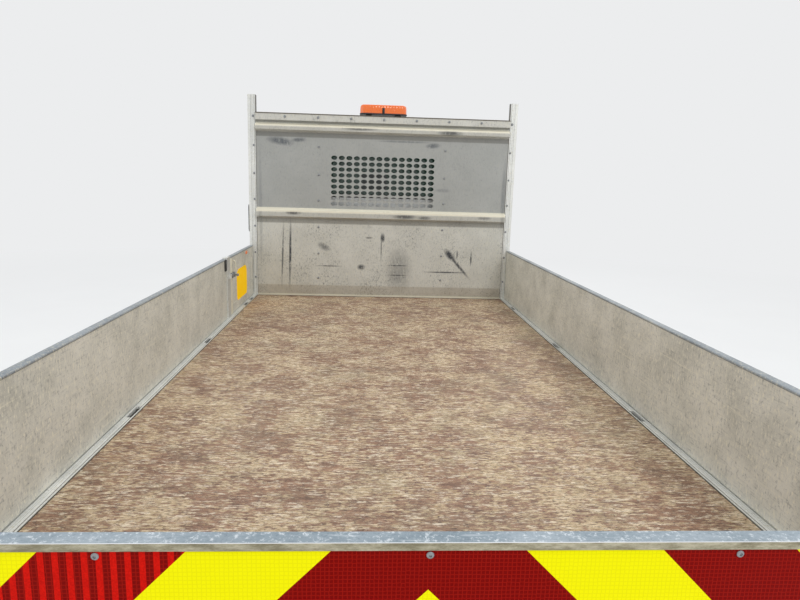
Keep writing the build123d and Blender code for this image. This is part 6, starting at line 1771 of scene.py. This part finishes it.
# %% Radiator, engine cover and hoses
ENGINE_TOP = span("engine_block", "Z")[1]
ENGINE_FRONT = span("engine_block", "Y")[1]
CORE_Y = (ENGINE_FRONT + 0.070, ENGINE_FRONT + 0.110)
CORE_MIDDLE, CORE_SIZE = (0.0, 0.830), (0.960, 0.380)
FIN_PITCH_MM = 6.0  # real fins are 1.5 mm apart, and are drawn coarser so that they show
fin_metal, tree, shader, place = begin("radiator_fins_with_painted_gap_shade", "#5A5D60", 0.5, metallic=0.6)
fins = waves(tree, place, FIN_PITCH_MM, "X")
tubes = waves(tree, place, 4 * FIN_PITCH_MM, "Z")
# dark lines of painted shade between the fins and tubes
dark = worked(tree, "MULTIPLY", fins, tubes)
connect(tree, shader, Base_Color=mixed(tree, dark, "#6B6E70", "#1E2022"))
core = slab(CORE_MIDDLE, CORE_SIZE, 0.012, CORE_Y, "Y", 0.003)
put("radiator_core", core, "truck", fin_metal)
cowl_section = rounded((0, 0), (0.030, 0.050), 0.006, 3)
cowl = framed(CORE_MIDDLE, CORE_SIZE, 0.020, "Y", CORE_Y[1] - 0.010, cowl_section)
cover = slab(
    (0.0, ENGINE_FRONT - 0.230), (0.440, 0.380), 0.040, (ENGINE_TOP - 0.002, ENGINE_TOP + 0.036), "Z", 0.012)
cover_ribs = copies(slab((0.0, ENGINE_FRONT - 0.230), (0.014, 0.330), 0.004, (0.0, 0.006), "Z", 0.002),
                    [(x, 0.0, ENGINE_TOP + 0.035) for x in np.linspace(-0.17, 0.17, 6)])
oil_cap = lathe(
    [(0.0, 0.030), (0.020, 0.030), (0.024, 0.024), (0.026, 0.010)], "Z",
    (0.120, ENGINE_FRONT - 0.110, ENGINE_TOP + 0.038), 20)
put("engine_cover", joined(cowl, cover, cover_ribs, oil_cap), "truck", black_trim)
HOSES = [  # points from the engine to the core
    [(0.225, ENGINE_FRONT - 0.040, 0.940), (0.300, ENGINE_FRONT + 0.010, 0.965),
     (0.380, ENGINE_FRONT + 0.030, 0.960), (0.410, CORE_Y[0] + 0.005, 0.950)],
    [(-0.225, ENGINE_FRONT - 0.020, 0.700), (-0.300, ENGINE_FRONT + 0.025, 0.690),
     (-0.370, ENGINE_FRONT + 0.040, 0.690), (-0.400, CORE_Y[0] + 0.005, 0.690)]]
hoses = [bent(points, 8, circle((0, 0), 0.021, 16)) for points in HOSES]
put("coolant_hoses", joined(*hoses), "truck", black_rubber, sharp=60)
print("radiator", CORE_SIZE, "m,", len(HOSES), "hoses")

# %% [markdown]
# ## Seat belts
# Each outer seat has a belt that runs from a reel low on the rear wall up to a guide at shoulder height. Webbing is
# flat and hangs straight while nobody sits there, so it is a thin strip carried along a nearly straight curve, and
# no cloth simulation is needed.

# %% Belts, reels and guides
BELT_X = 0.800
belt_line = curve_through(
    [
        (BELT_X, 1.236, 1.640), (BELT_X - 0.010, 1.232, 1.300), (BELT_X - 0.004, 1.236, 0.960),
        (BELT_X, 1.300, 0.800)], 8)
belt = swept(belt_line, rounded((0, 0), (0.003, 0.046), 0.001, 3), up=(1, 0, 0))
webbing = grained("woven_belt_webbing", "#232427", "#33353A", 0.85, 2.0)
reel = joined(lathe([(-0.026, 0.030), (0.026, 0.030)], "Y", (BELT_X, 1.250, 0.830), 20),
              slab((BELT_X, 1.650), (0.060, 0.050), 0.012, (1.226, 1.246), "Y", 0.004))
put("seat_belts", pair(belt), "truck", webbing)
put("belt_reels", pair(reel), "truck", black_trim)
print("belts at", BELT_X, "m from the middle")
